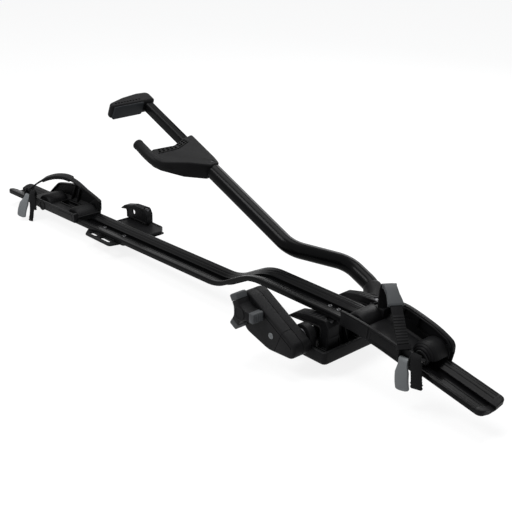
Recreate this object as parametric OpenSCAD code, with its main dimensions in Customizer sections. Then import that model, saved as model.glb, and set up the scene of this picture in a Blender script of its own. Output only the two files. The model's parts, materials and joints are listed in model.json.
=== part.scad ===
// Roof mounted bike carrier: wheel tray, front foot with a folding frame arm, rear bar bracket.
// Millimetres. +X runs to the front of the tray, +Y to the arm side, +Z up.
// Origin: middle of the front foot's bar seat.

/* [Tray] */
// Width of the tray over its lips
tray_w = 69; // [62:1:83]
// Wall thickness of the tray section
tray_wall = 2.2; // [1.6:0.1:2.6]
// Height of the outer lips above the tray's path
lip_h = 8; // [7:0.5:10]
// Corner radius of the lips
lip_r = 3; // [2.7:0.1:4]
// Half width of the middle slot
slot_half = 8; // [5:0.5:9.5]
// Depth of the lips' lower edge below the tray's path
lip_drop = 1.5; // [0:0.1:1.6]
// Depth of the slot floor below the tray's path
slot_drop = 4; // [2:0.5:5]
// Height of the rails beside the slot, from the tray's path
rail_low = 2; // [0:0.5:5]
// Level length of the straight rear run
rear_run = 785; // [700:5:942]
// Slope of the rear run
rear_slope = 1.2; // [0.8:0.1:1.6]
// Steepest slope of the rising bend
rise_slope = 28; // [22:1:34]
// Bend radius of the rising bend
rise_r = 120; // [90:5:150]
// Straight length in the middle of the rising bend
rise_len = 47.6; // [44:0.1:52]
// Length of the level run over the foot
level_run = 181.8; // [150:0.1:220]
// Place along X where the level run ends
level_end_x = 4; // [2:1:10]
// Height of the lips' lower edge on the level run
deck_z = 73.5; // [72:0.5:90]
// Radius of the long bend in front of the foot
nose_r = 700; // [550:10:900]
// Slope of the nose
nose_slope = 11.5; // [9:0.5:14]
// Length of the nose with its end cap
nose_len = 198; // [160:1:240]
// Length of each end cap
cap_len = 14; // [10:1:20]
// Plan radius of the end caps' corners
cap_r = 11; // [6:1:13]

/* [Front foot] */
// Length of the foot along the tray
foot_len = 76; // [72:1:96]
// Foot's reach to the near side
foot_near = 76; // [70:1:78]
// Foot's reach to the far side
foot_far = 107.4; // [105:0.2:107.6]
// Height of the foot's rim
foot_rim_z = 24; // [18:1:30]
// Height of the floor inside the rim
foot_floor_z = 12; // [10:0.5:13]
// Width of the rim
foot_rim_w = 7; // [5:0.5:8]
// Thickness of the rubber seat pads
seat_pad_t = 2.5; // [1.5:0.5:3]
// Radius of the near hinge boss
boss_r = 21; // [16:1:24]
// Width of each hinge boss
boss_w = 15; // [10:1:15]

/* [Arm] */
// Place of the arm's hinge along X
hinge_x = -19; // [-21:0.5:-17]
// Height of the arm's hinge
hinge_z = 40; // [36:0.5:42]
// Angle of the arm above level, as it rests
arm_angle = 23.2; // [15:0.1:60]
// Outer radius of the pivot shaft
shaft_r = 8; // [7:0.2:9.6]
// Bore radius of the pivot shaft
shaft_bore_r = 4.6; // [4:0.1:5.5]
// Outer radius of the arm tube
tube_r = 16.5; // [16:0.1:19.8]
// Wall of the arm tube
tube_wall = 1.8; // [1.2:0.1:1.8]
// Radius of the arm tube's bends
bend_r = 55; // [50:1:60]
// Widest reach of the tube's axis to the far side
tube_reach = 151; // [146:1:154]
// Offset of the straight arm from the middle
arm_y = 63.5; // [60:0.5:70]
// Turn of each half of the tube's double bend
s_turn = 47; // [42:1:52]
// Distance from the hinge to the end of the arm tube
tube_end = 470; // [455:1:490]

/* [Frame jaws] */
// Distance from the hinge to the lower jaw's rear end
jaw_back = 441; // [430:1:450]
// Wall of the lower jaw over and under the arm tube
jaw_wall = 2; // [1.5:0.5:6]
// Distance from the hinge to the lower jaw's mouth at the bar
mouth_u = 545; // [530:1:560]
// Distance from the hinge to the upper jaw's pad
pad_u = 675; // [660:1:810]
// Closing travel of the upper jaw
jaw_travel = 84; // [60:1:84]
// Height and width of the slide bar
bar_h = 20.5; // [16:0.5:22]
// Radius of the lead screw
screw_r = 4; // [3.3:0.1:4.8]
// Radius of the jaw's horn
horn_r = 11; // [9:0.5:13]
// Height of the upper jaw
upper_h = 34; // [28:1:41]
// Thickness of the upper jaw's pad
pad_t = 5; // [3:0.5:7]

/* [Knob housing] */
// Near face of the knob housing
housing_near = 122; // [121:1:126]
// Far face of the knob housing
housing_far = 80; // [79:0.5:82]
// Wall of the knob housing
housing_wall = 3; // [2.5:0.5:4]
// Radius of the knob over its three lobes
knob_r = 37; // [30:1:44]
// Thickness of the knob
knob_t = 26; // [20:1:32]
// Radius of the knob's spindle
spindle_r = 6; // [4.5:0.5:7.5]
// Radius of the lock disc
lock_r = 6; // [5:0.5:7.5]

/* [Wheel holders] */
// Thickness of the holders' side walls
skirt_t = 4.5; // [3:0.5:5.5]
// Height of the front holder's near skirt above the lips' lower edge
front_skirt_h = 24; // [20:1:25]
// Height of the rear holder's near skirt above the lips' lower edge
rear_skirt_h = 21; // [18:1:26]
// Thickness of the straps
strap_t = 3; // [2.5:0.1:3.6]
// Width of the straps
strap_w = 20; // [16:1:20]
// Width of the rim pads
rim_pad_w = 27; // [24:1:33]
// Wall of the rim pads
rim_pad_t = 2.4; // [1.6:0.2:3]
// Length of the buckle levers
lever_len = 54; // [40:1:65]
// Radius of the lever pins
pin_r = 2; // [1.6:0.1:2.4]

/* [Rear bracket] */
// Middle of the rear bracket along X
bracket_x = -697; // [-715:1:-680]
// Length of the rear bracket along the tray
bracket_len = 124; // [118:1:130]
// Bracket's reach to the near side
bracket_near = 54; // [50:1:60]
// Bracket's reach to the far side
bracket_far = 106; // [102:1:112]
// Top of the bracket's plate
bracket_z = 7.6; // [7:0.2:8]
// Top of the bracket's wings
wing_z = 12; // [11:0.5:13]
// Thickness of the bracket's near wing
near_wing_t = 4.8; // [3:0.2:6]

/* [Bar claws] */
// Length of a claw
claw_len = 104; // [100:1:108]
// Width of the far claw and the rear claw
claw_w = 19; // [16:0.5:19]
// Width of the near claw
near_claw_w = 28; // [19:1:34]
// Height of the claws on the front foot
front_claw_h = 58; // [56:0.5:60]
// Height of the claw on the rear bracket
rear_claw_h = 38; // [36:1:56]
// Radius of a claw's bolt
bolt_r = 4; // [3:0.1:4.8]

/* [Fits] */
// Radial clearance of turning pins and shafts
run_fit = 0.05; // [0.02:0.01:0.1]
// Gap between pieces that slide past each other
slide_gap = 0.4; // [0.3:0.05:0.5]
// Gap between pieces that are fastened together
seat_gap = 0.1; // [0.05:0.05:0.15]

/* [Hidden] */
$fn = 48;

// Colours
black_paint = [0.06, 0.06, 0.065];
black_plastic = [0.10, 0.10, 0.105];
soft_rubber = [0.08, 0.08, 0.085];
lever_grey = [0.45, 0.47, 0.48];
pad_grey = [0.32, 0.33, 0.34];
steel = [0.62, 0.63, 0.65];

// Tray path, from the rear end to the nose
half_w = tray_w / 2;
rail_in = slot_half + tray_wall;
floor_z = -slot_drop - tray_wall;
rise_dx = rise_r * (sin(rise_slope) - sin(rear_slope));
rise_dz = rise_r * (cos(rear_slope) - cos(rise_slope));
crest_dx = rise_r * sin(rise_slope);
crest_dz = rise_r * (1 - cos(rise_slope));
level_start_x = level_end_x - level_run;
crest_x = level_start_x - crest_dx;
crest_z = deck_z - crest_dz;
ramp_x = crest_x - rise_len * cos(rise_slope);
ramp_z = crest_z - rise_len * sin(rise_slope);
rear_end_x = ramp_x - rise_dx;
rear_end_z = ramp_z - rise_dz;
tray_rear_x = rear_end_x - rear_run;
tray_rear_z = rear_end_z - rear_run * tan(rear_slope);
rear_len = rear_run / cos(rear_slope);
nose_x = level_end_x + nose_r * sin(nose_slope);
nose_z = deck_z - nose_r * (1 - cos(nose_slope));

// Height of the tray's path over the level run, the front bend and the nose
function front_z(x) =
    x < level_end_x ? deck_z :
    x < nose_x ? deck_z - nose_r + sqrt(nose_r * nose_r - pow(x - level_end_x, 2)) :
    nose_z - (x - nose_x) * tan(nose_slope);

function reversed(list) = [for (i = [len(list) - 1:-1:0]) list[i]];
function flipped(list) = [for (p = list) [-p[0], p[1]]];

// Height of a rail's crown at a distance y from the middle
crown_w = half_w - lip_r - rail_in;
function crown(y) = rail_low + (lip_h - rail_low) * sin(90 * (y - rail_in) / crown_w);
crown_steps = 8;
lip_steps = 4;
function crown_points(drop) = [for (i = [0:crown_steps])
    let (y = rail_in + crown_w * i / crown_steps) [y, crown(y) - drop]];
function lip_points(drop) = [for (i = [1:lip_steps])
    let (a = 90 - 90 * i / lip_steps)
    [half_w - lip_r + (lip_r - drop) * cos(a), lip_h - lip_r + (lip_r - drop) * sin(a)]];
slot_edge_drop = 0.6;
tray_half = concat([[slot_half, -slot_drop], [slot_half, rail_low - slot_edge_drop]],
    crown_points(0), lip_points(0), [[half_w, -lip_drop], [half_w - tray_wall, -lip_drop]],
    reversed(lip_points(tray_wall)), reversed(crown_points(tray_wall)), [[rail_in, floor_z]]);
tray_section = concat(tray_half, reversed(flipped(tray_half)));
cap_half = concat(crown_points(0), lip_points(0), [[half_w, -lip_drop], [rail_in, floor_z]]);
cap_section = concat(cap_half, reversed(flipped(cap_half)));

// Space that the tray takes below a holder, with a gap around it
space_depth = 30;
function tray_space(gap) = let (half = concat(
        [for (p = crown_points(0)) [p[0], p[1] + gap]], lip_points(-gap), [[half_w + gap, -space_depth]]))
    concat(half, reversed(flipped(half)));
function wall_section(y0, y1, z0, z1) = [[y0, z0], [y1, z0], [y1, z1], [y0, z1]];

// A polygon with each corner replaced by an arc of its own radius
corner_steps = 6;
function rounded(points, radii) = [for (i = [0:len(points) - 1])
    let (n = len(points), p = points[i],
        a = points[(i + n - 1) % n] - p, b = points[(i + 1) % n] - p,
        ua = a / norm(a), ub = b / norm(b),
        half = acos(ua * ub) / 2,
        mid = (ua + ub) / norm(ua + ub),
        centre = p + mid * radii[i] / sin(half),
        start = p + ua * radii[i] / tan(half) - centre,
        turn = -sign(cross(ua, ub)) * (180 - 2 * half))
    for (k = [0:corner_steps])
        let (t = turn * k / corner_steps)
        centre + [start[0] * cos(t) - start[1] * sin(t), start[0] * sin(t) + start[1] * cos(t)]];
function rounded_box(x0, x1, y0, y1, r) = rounded([[x0, y0], [x1, y0], [x1, y1], [x0, y1]], [r, r, r, r]);
// A convex outline drawn in by a distance
function inset(points, d) = [for (i = [0:len(points) - 1])
    let (n = len(points), p = points[i],
        a = points[(i + n - 1) % n] - p, b = points[(i + 1) % n] - p,
        ua = a / norm(a), ub = b / norm(b), half = acos(ua * ub) / 2)
    p + (ua + ub) / norm(ua + ub) * d / sin(half)];

// A smooth curve through chosen points
spline_steps = 5;
function spline_point(p0, p1, p2, p3, t) = 0.5 * (2 * p1 + (p2 - p0) * t
    + (2 * p0 - 5 * p1 + 4 * p2 - p3) * t * t + (3 * p1 - p0 - 3 * p2 + p3) * t * t * t);
function spline(points) = let (n = len(points) - 1)
    concat([for (i = [0:n - 1]) for (k = [0:spline_steps - 1])
        spline_point(points[max(0, i - 1)], points[i], points[i + 1], points[min(n, i + 2)],
            k / spline_steps)],
    [points[n]]);

// A band beside a plane curve
function normal_at(path, i) = let (n = len(path) - 1, d = path[min(n, i + 1)] - path[max(0, i - 1)])
    [-d[1], d[0]] / norm(d);
function offset_path(path, distance) = [for (i = [0:len(path) - 1]) path[i] + normal_at(path, i) * distance];
function band(path, low, high) = concat(offset_path(path, low), reversed(offset_path(path, high)));
function part_of(path, first, last) = [for (i = [first:last]) path[i]];

// Runs and bends of one section along the tray
module pose(x, z, slope) { translate([x, 0, z]) rotate([0, -slope, 0]) children(); }
module run(section, length) { rotate([90, 0, 90]) linear_extrude(length) polygon(section); }
module bend_down(section, radius, angle) {
    translate([0, 0, -radius]) rotate([-90, -90, 0]) rotate_extrude(angle = angle, $fn = 96)
        polygon([for (p = section) [radius + p[1], p[0]]]);
}
module bend_up(section, radius, angle) {
    translate([0, 0, radius]) rotate([90, 90, 0]) rotate_extrude(angle = angle, $fn = 96)
        polygon([for (p = section) [radius - p[1], -p[0]]]);
}
module front_sweep(section, nose) {
    pose(level_start_x, deck_z, 0) run(section, level_run);
    pose(level_end_x, deck_z, 0) bend_down(section, nose_r, nose_slope);
    pose(nose_x, nose_z, -nose_slope) run(section, nose);
}
// A run that stops a hairline short of the bends at its ends
seam = 0.02;
module tray_run(length) { translate([seam, 0, 0]) run(tray_section, length - 2 * seam); }
module in_rear_run() { pose(tray_rear_x, tray_rear_z, rear_slope) children(); }
// The stretch of a piece from one X to another
module between(x0, x1) {
    intersection() {
        children();
        translate([x0, -200, -100]) cube([x1 - x0, 400, 400]);
    }
}
// A cylinder along Y, a plate in the XZ plane and a block, each from one limit to another
module bar_y(r, y0, y1) { translate([0, y1, 0]) rotate([90, 0, 0]) cylinder(r = r, h = y1 - y0); }
module plate_y(points, y0, y1) {
    translate([0, y1, 0]) rotate([90, 0, 0]) linear_extrude(y1 - y0) polygon(points);
}
module block(x, y, z) { translate([x[0], y[0], z[0]]) cube([x[1] - x[0], y[1] - y[0], z[1] - z[0]]); }

// Tray and end caps
module tray() {
    color(black_paint) difference() {
        union() {
            in_rear_run() translate([cap_len, 0, 0]) tray_run(rear_len - cap_len);
            pose(rear_end_x, rear_end_z, rear_slope) bend_up(tray_section, rise_r, rise_slope - rear_slope);
            pose(ramp_x, ramp_z, rise_slope) tray_run(rise_len);
            pose(crest_x, crest_z, rise_slope) bend_down(tray_section, rise_r, rise_slope);
            pose(level_start_x, deck_z, 0) tray_run(level_run);
            pose(level_end_x, deck_z, 0) bend_down(tray_section, nose_r, nose_slope);
            pose(nose_x, nose_z, -nose_slope) tray_run(nose_len - cap_len);
        }
        for (x = tray_bolt_places) translate([x, 0, tower_top - 1])
            cylinder(r = tray_bolt_r + seat_gap, h = 9);
        in_rear_run() for (x = bracket_bolt_places) translate([x, 0, floor_z - 1])
            cylinder(r = tray_bolt_r + seat_gap, h = tray_wall + 2);
    }
}
module end_cap() {
    intersection() {
        run(cap_section, cap_len);
        translate([0, 0, -20]) linear_extrude(40)
            polygon(rounded([[-cap_len, -half_w], [cap_len, -half_w], [cap_len, half_w], [-cap_len, half_w]],
                [1, cap_r, cap_r, 1]));
    }
}
module rear_end_cap() {
    color(black_plastic) in_rear_run() translate([cap_len, 0, 0]) mirror([1, 0, 0]) end_cap();
}
module front_end_cap() {
    color(black_plastic) pose(nose_x, nose_z, -nose_slope) translate([nose_len - cap_len, 0, 0]) end_cap();
}

// Bar claws: a C outline with the hook to the rear and the hook's tip at the local origin
claw_bolt_inset = 11;
nut_h = 6;
nut_r = 7;
nut_sink = 2;
hook_drop = 24;
claw_window = [27, 19];
claw_window_r = 5.5;
module claw_body(height, throat, width) {
    difference() {
        plate_y(rounded([[0, height - hook_drop], [throat, height - hook_drop + 5],
            [throat, 0], [claw_len, 0], [claw_len, height - 12], [claw_len - 8, height], [50, height - 3],
            [18, height - 11]], [1, 3, 2, 2, 6, 4, 30, 10]), -width / 2, width / 2);
        translate([claw_len - claw_bolt_inset, 0, -1]) cylinder(r = bolt_r + seat_gap, h = height);
        translate([claw_len - claw_bolt_inset, 0, height - nut_h - nut_sink])
            cylinder(r = nut_r + slide_gap, h = 20);
        if (throat < claw_len / 2) translate([throat + claw_window[0], 0, claw_window[1]])
            bar_y(claw_window_r, -width, width);
    }
}
// A claw's bolt: square head under the plate, round nut in the claw's top
t_head_h = 3.5;
t_recess_h = 4.5;
module claw_bolt_body(height, below) {
    translate([claw_len - claw_bolt_inset, 0, 0]) {
        translate([0, 0, -below]) cylinder(r = bolt_r, h = below + height - nut_sink);
        translate([-nut_r, -nut_r, -below]) cube([2 * nut_r, 2 * nut_r, t_head_h]);
        translate([0, 0, height - nut_h - nut_sink]) cylinder(r = nut_r, h = nut_h);
    }
}
front_throat = 82;
rear_throat = 26;
front_claw_tip = -84;
near_claw_y = -36;
far_claw_y = 90.5;
claw_travel = 7;
claw_lift = 0.3;
rear_claw_tip = bracket_x - 92;
rear_claw_y = 90;
bolt_below_front = foot_floor_z + claw_lift - seat_pad_t - slide_gap;
bolt_below_rear = wing_z + claw_lift - seat_pad_t - slide_gap;
module at_near_claw() { translate([front_claw_tip, near_claw_y, foot_floor_z + claw_lift]) children(); }
module at_far_claw() { translate([front_claw_tip, far_claw_y, foot_floor_z + claw_lift]) children(); }
module at_rear_claw() { translate([rear_claw_tip, rear_claw_y, wing_z + claw_lift]) children(); }
module near_claw() { color(black_plastic) at_near_claw() claw_body(front_claw_h, front_throat, near_claw_w); }
module far_claw() { color(black_plastic) at_far_claw() claw_body(front_claw_h, front_throat, claw_w); }
module rear_claw() { color(black_plastic) at_rear_claw() claw_body(rear_claw_h, rear_throat, claw_w); }
module near_claw_bolt() { color(steel) at_near_claw() claw_bolt_body(front_claw_h, bolt_below_front); }
module far_claw_bolt() { color(steel) at_far_claw() claw_bolt_body(front_claw_h, bolt_below_front); }
module rear_claw_bolt() { color(steel) at_rear_claw() claw_bolt_body(rear_claw_h, bolt_below_rear); }
// Slot through a plate for a claw's bolt, with a wider recess for its square head
module claw_slot(tip, y, top) {
    x = tip + claw_len - claw_bolt_inset;
    reach = claw_travel + 1;
    block([x - reach - bolt_r, x + reach + bolt_r], [y - bolt_r - slide_gap, y + bolt_r + slide_gap],
        [-1, top]);
    block([x - reach - nut_r, x + reach + nut_r], [y - nut_r - slide_gap, y + nut_r + slide_gap],
        [-1, seat_pad_t + t_recess_h]);
}

// Front foot
foot_half = foot_len / 2;
foot_corner = 9;
far_boss_r = 17;
far_boss_y = 62;
tower_x = [-foot_half + foot_rim_w + 1, level_end_x];
tower_y = [-16, 56];
tower_top = deck_z + floor_z;
tray_bolt_r = 3;
tray_bolt_len = 11;
tray_bolt_head_r = 4.5;
tray_bolt_head_h = 3.5;
tray_bolt_places = [-24, -3];
module foot_outline(inset_by) {
    polygon(rounded_box(-foot_half + inset_by, foot_half - inset_by,
        -foot_near + inset_by, foot_far - inset_by, max(2, foot_corner - inset_by)));
}
module hinge_boss(r, y0, y1) {
    translate([hinge_x, 0, hinge_z]) bar_y(r, y0, y1);
    block([max(hinge_x - r, -foot_half), hinge_x + r], [y0, y1], [foot_floor_z - 1, hinge_z]);
}
module foot_base() {
    color(black_plastic) difference() {
        union() {
            difference() {
                translate([0, 0, seat_pad_t]) linear_extrude(foot_rim_z - seat_pad_t) foot_outline(0);
                translate([0, 0, foot_floor_z]) linear_extrude(foot_rim_z) foot_outline(foot_rim_w);
            }
            hinge_boss(boss_r, -foot_near, -foot_near + boss_w);
            hinge_boss(far_boss_r, far_boss_y, far_boss_y + boss_w);
        }
        translate([hinge_x, 0, hinge_z]) bar_y(shaft_r + run_fit, -foot_near - 1, foot_far);
        for (y = [near_claw_y, far_claw_y]) claw_slot(front_claw_tip, y, foot_floor_z + 1);
    }
}
module front_seat_pad() {
    color(soft_rubber) difference() {
        linear_extrude(seat_pad_t) foot_outline(2);
        for (y = [near_claw_y, far_claw_y]) claw_slot(front_claw_tip, y, foot_floor_z);
    }
}
module foot_tower() {
    color(black_plastic) difference() {
        block(tower_x, tower_y, [foot_floor_z, tower_top]);
        translate([hinge_x, 0, hinge_z]) bar_y(shaft_r + run_fit, tower_y[0] - 1, tower_y[1] + 1);
        for (x = tray_bolt_places) translate([x, 0, tower_top - tray_bolt_len])
            cylinder(r = tray_bolt_r + seat_gap, h = 2 * tray_bolt_len);
    }
}
module tray_bolts() {
    color(steel) for (x = tray_bolt_places) translate([x, 0, tower_top]) {
        translate([0, 0, -tray_bolt_len]) cylinder(r = tray_bolt_r, h = tray_bolt_len + tray_wall + 1);
        translate([0, 0, tray_wall]) cylinder(r = tray_bolt_head_r, h = tray_bolt_head_h);
    }
}

// Arm: everything that folds about the hinge. In its frame x is minus the distance from the hinge
module in_arm() { translate([hinge_x, 0, hinge_z]) rotate([0, arm_angle, 0]) children(); }
module plan(points, w0, w1) { translate([0, 0, w0]) linear_extrude(w1 - w0) polygon(flipped(points)); }
module rod_u(r, u0, u1, v, w) { translate([-u0, v, w]) rotate([0, -90, 0]) cylinder(r = r, h = u1 - u0); }
shaft_near = 88;
shaft_far = 117;
washer_r = 14;
washer_t = 2.2;
far_washer_y = far_boss_y + boss_w + slide_gap;
module pivot_shaft() {
    color(steel) in_arm() difference() {
        bar_y(shaft_r, -shaft_near, shaft_far);
        bar_y(shaft_bore_r, -shaft_near - 1, shaft_far + 1);
    }
}
module pivot_washers() {
    color(steel) in_arm() difference() {
        union() {
            bar_y(washer_r, -housing_far, -foot_near - slide_gap);
            bar_y(washer_r, far_washer_y, far_washer_y + washer_t);
        }
        bar_y(shaft_r + seat_gap, -housing_far - 1, far_washer_y + washer_t + 1);
    }
}

// Arm tube: plan path from the knuckle to the lower jaw
tube_start = 49;
tube_bore_r = tube_r - tube_wall;
s_start = 84;
s_mid = s_start + bend_r * sin(s_turn);
s_mid_v = tube_reach - bend_r * (1 - cos(s_turn));
s_len = (tube_reach - arm_y - 2 * bend_r * (1 - cos(s_turn))) / sin(s_turn);
s_end = s_mid + s_len * cos(s_turn) + bend_r * sin(s_turn);
module tube_bend(u, v, from, turn, r, bore) {
    translate([-u, v, 0]) rotate([0, 0, from]) rotate_extrude(angle = turn)
        translate([bend_r, 0]) difference() {
            circle(r);
            circle(bore);
        }
}
module tube_run(length) {
    difference() {
        translate([0, 0, seam]) cylinder(r = tube_r, h = length - 2 * seam);
        translate([0, 0, -1]) cylinder(r = tube_bore_r, h = length + 2);
    }
}
module arm_tube() {
    color(black_paint) in_arm() {
        tube_bend(bend_r, tube_reach - bend_r, tube_start, 90 - tube_start, tube_r, tube_bore_r);
        translate([-bend_r, tube_reach, 0]) rotate([0, -90, 0]) tube_run(s_start - bend_r);
        tube_bend(s_start, tube_reach - bend_r, 90, s_turn, tube_r, tube_bore_r);
        translate([-s_mid, s_mid_v, 0]) rotate([0, 90, 180 + s_turn]) tube_run(s_len);
        tube_bend(s_end, arm_y + bend_r, -90, s_turn, tube_r, tube_bore_r);
        translate([-s_end, arm_y, 0]) rotate([0, -90, 0]) tube_run(tube_end - s_end);
    }
}
knuckle_y = 108;
knuckle_r = 19;
knuckle_w = 22;
sleeve_start = 24;
sleeve_turn = 49;
sleeve_wall = 2.6;
cable_room = 7;
cable_turn = 146;
cable_exit = 34;
module sleeve_bend(from, turn, r) {
    translate([-bend_r, tube_reach - bend_r, 0]) rotate([0, 0, from]) rotate_extrude(angle = turn)
        translate([bend_r, 0]) circle(r);
}
module arm_knuckle() {
    color(black_plastic) in_arm() difference() {
        union() {
            bar_y(knuckle_r, knuckle_y, knuckle_y + knuckle_w);
            sleeve_bend(sleeve_start, sleeve_turn, tube_r + sleeve_wall);
        }
        sleeve_bend(tube_start, 90 - tube_start, tube_r + seat_gap);
        bar_y(shaft_r + seat_gap, knuckle_y - 1, shaft_far);
        bar_y(cable_room, shaft_far - 1, shaft_far + 10);
        translate([0, shaft_far + 5, 0]) rotate([0, 90, cable_turn]) cylinder(r = cable_room, h = cable_exit);
        translate([0, knuckle_y + knuckle_screw_y, shaft_r]) cylinder(r = knuckle_screw_r + seat_gap, h = 20);
    }
}
knuckle_screw_y = 5;
knuckle_screw_r = 2.5;
module knuckle_screw() {
    color(steel) in_arm() translate([0, knuckle_y + knuckle_screw_y, shaft_r + seat_gap])
        cylinder(r = knuckle_screw_r, h = knuckle_r - shaft_r - 1);
}

// Lower jaw, with its horn and toothed grip
jaw_half = tube_r + jaw_wall;
horn_v = -40;
horn_core_r = 7;
horn_tip = mouth_u + 27;
horn_root = mouth_u - 9;
grip_path = [[mouth_u - 7.6, arm_y - 14.5], [mouth_u - 21, 14], [mouth_u - 13, -27]];
grip_proud = 3;
grip_sink = 2;
grip_half = 11;
jaw_outline = rounded([[jaw_back, 51], [jaw_back, 76], [jaw_back + 22, arm_y + 15], [mouth_u, arm_y + 15],
    [mouth_u - 7, arm_y - 13], [mouth_u - 21, 14], [mouth_u - 13, -27], [horn_root, horn_v + 9],
    [horn_root, horn_v - horn_r], [jaw_back + 66, horn_v - horn_r], [jaw_back + 50, -38], [jaw_back + 22, 8]],
    [2, 8, 10, 3, 3, 20, 3, 1, 1, 20, 12, 30]);
bar_corner = 4;
bar_half = bar_h / 2;
module bar_space(gap, u0, u1) {
    translate([-u1, arm_y, 0]) rotate([90, 0, 90]) linear_extrude(u1 - u0)
        polygon(rounded_box(-bar_half - gap, bar_half + gap, -bar_half - gap, bar_half + gap,
            bar_corner + gap));
}
module lower_jaw() {
    color(black_plastic) in_arm() difference() {
        union() {
            plan(jaw_outline, -jaw_half, jaw_half);
            rod_u(horn_core_r, horn_root - 1, horn_tip - 6, horn_v, 0);
        }
        rod_u(tube_r + seat_gap, jaw_back - 1, tube_end, arm_y, 0);
        bar_space(slide_gap, tube_end - 1, mouth_u + 9);
        plan(band(grip_path, -grip_sink - seat_gap, 2 * grip_proud),
            -grip_half - seat_gap, grip_half + seat_gap);
        translate([-jaw_screw_u, arm_y, tube_r]) cylinder(r = jaw_screw_r + seat_gap, h = 20);
    }
}
jaw_screw_u = jaw_back + 12;
jaw_screw_r = 2;
module jaw_screw() {
    color(steel) in_arm() translate([-jaw_screw_u, arm_y, tube_r + seat_gap])
        cylinder(r = jaw_screw_r, h = jaw_half - tube_r - seat_gap - 0.4);
}
module jaw_horn() {
    color(soft_rubber) in_arm() difference() {
        rod_u(horn_r, horn_root, horn_tip, horn_v, 0);
        rod_u(horn_core_r + seat_gap, horn_root - 1, horn_tip - 6 + seat_gap, horn_v, 0);
    }
}
module lower_jaw_grip() {
    color(soft_rubber) in_arm() plan(band(grip_path, -grip_sink, grip_proud), -grip_half, grip_half);
}

// Drive from the knob to the upper jaw
screw_first = 242;
screw_collar = 256;
screw_collar_r = 8;
screw_collar_t = 6;
nut_len = 18;
nut_room = 8;
// The nut guides the bar's inner end in the tube's bore
screw_nut_r = tube_bore_r - slide_gap;
// The nut stops short of the collar when the jaws are closed
bar_first = screw_collar + screw_collar_t + nut_room + nut_len + jaw_travel;
screw_last = bar_first + 148;
bar_bore_r = screw_r + 0.75;
bar_bore_len = 270;
bar_last = pad_u + pad_t + 21;
module screw_bearing() {
    color(steel) in_arm() difference() {
        rod_u(tube_bore_r - seat_gap, screw_first + 1, screw_collar - slide_gap, arm_y, 0);
        rod_u(screw_r + run_fit, screw_first, screw_collar, arm_y, 0);
    }
}
module lead_screw() {
    color(steel) in_arm() {
        rod_u(screw_r, screw_first, screw_last, arm_y, 0);
        rod_u(screw_collar_r, screw_collar, screw_collar + screw_collar_t, arm_y, 0);
    }
}
module screw_nut() {
    color(steel) in_arm() difference() {
        rod_u(screw_nut_r, bar_first - nut_len, bar_first, arm_y, 0);
        rod_u(screw_r + run_fit, bar_first - nut_len - 1, bar_first + 1, arm_y, 0);
    }
}
module slide_bar() {
    color(black_paint) in_arm() difference() {
        bar_space(0, bar_first, bar_last);
        rod_u(bar_bore_r, bar_first - 1, bar_first + bar_bore_len, arm_y, 0);
    }
}
upper_half = upper_h / 2;
upper_tip_v = -32;
upper_back = pad_u + pad_t;
module upper_jaw() {
    color(black_plastic) in_arm() difference() {
        plan(rounded([[upper_back, upper_tip_v], [upper_back + 14, upper_tip_v],
            [upper_back + 31, arm_y - 14], [upper_back + 29, arm_y + 15], [upper_back - 2, arm_y + 15],
            [upper_back - 2, arm_y - 14], [upper_back, arm_y - 15]], [2, 6, 12, 8, 3, 1, 0.3]),
            -upper_half, upper_half);
        bar_space(seat_gap, upper_back - 10, bar_last + seat_gap);
    }
}
module upper_jaw_pad() {
    color(soft_rubber) in_arm()
        plan(rounded([[pad_u, upper_tip_v + 3], [upper_back, upper_tip_v + 3], [upper_back, arm_y - 16],
            [pad_u, arm_y - 16]], [2, 0.4, 0.4, 2]), -upper_half + 2, upper_half - 2);
}
// Flexible drive cable: points along its route in the arm's frame, as distance, offset and height
cable_r = 3;
cable_sides = 8;
cable_points = [[93, -114, -3], [92, -108, -3], [88, -103, -3], [80, -101, -3], [66, -101, -2.5],
    [44, -101, -1.5], [24, -101, -0.5], [12, -101, 0], [5, -98, 0], [1, -93, 0], [0, -87, 0], [0, -60, 0],
    [0, 0, 0], [0, 60, 0], [0, 112, 0], [1, 119, 0], [6, 125, 0], [15, 131, 0], [27, 140, 0], [41, 147, 0],
    [56, 151, 0], [72, 151, 0], [88, 151, 0], [104, 147, 0], [119, 138, 0], [133, 124, 0], [150, 106, 0],
    [167, 88, 0], [181, 75, 0], [195, 67, 0], [206, 63.5, 0], [222, 63.5, 0], [241, 63.5, 0]];
function along_cable(i) = let (n = len(cable_points) - 1,
    d = cable_points[min(n, i + 1)] - cable_points[max(0, i - 1)]) d / norm(d);
function cable_ring(i) = let (t = along_cable(i), side = cross(t, [0, 0, 1]) / norm(cross(t, [0, 0, 1])),
    up = cross(side, t))
    [for (k = [0:cable_sides - 1]) let (a = 360 * k / cable_sides)
        cable_points[i] + cable_r * (side * cos(a) + up * sin(a))];
module drive_cable() {
    rings = len(cable_points);
    corners = [for (i = [0:rings - 1]) each cable_ring(i)];
    sides = [for (i = [0:rings - 2]) for (k = [0:cable_sides - 1])
        let (a = i * cable_sides + k, b = i * cable_sides + (k + 1) % cable_sides)
        each [[a, b, b + cable_sides], [a, b + cable_sides, a + cable_sides]]];
    caps = [[for (k = [0:cable_sides - 1]) cable_sides - 1 - k],
        [for (k = [0:cable_sides - 1]) (rings - 1) * cable_sides + k]];
    color(steel) in_arm() mirror([1, 0, 0]) polyhedron(corners, concat(sides, caps));
}

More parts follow.
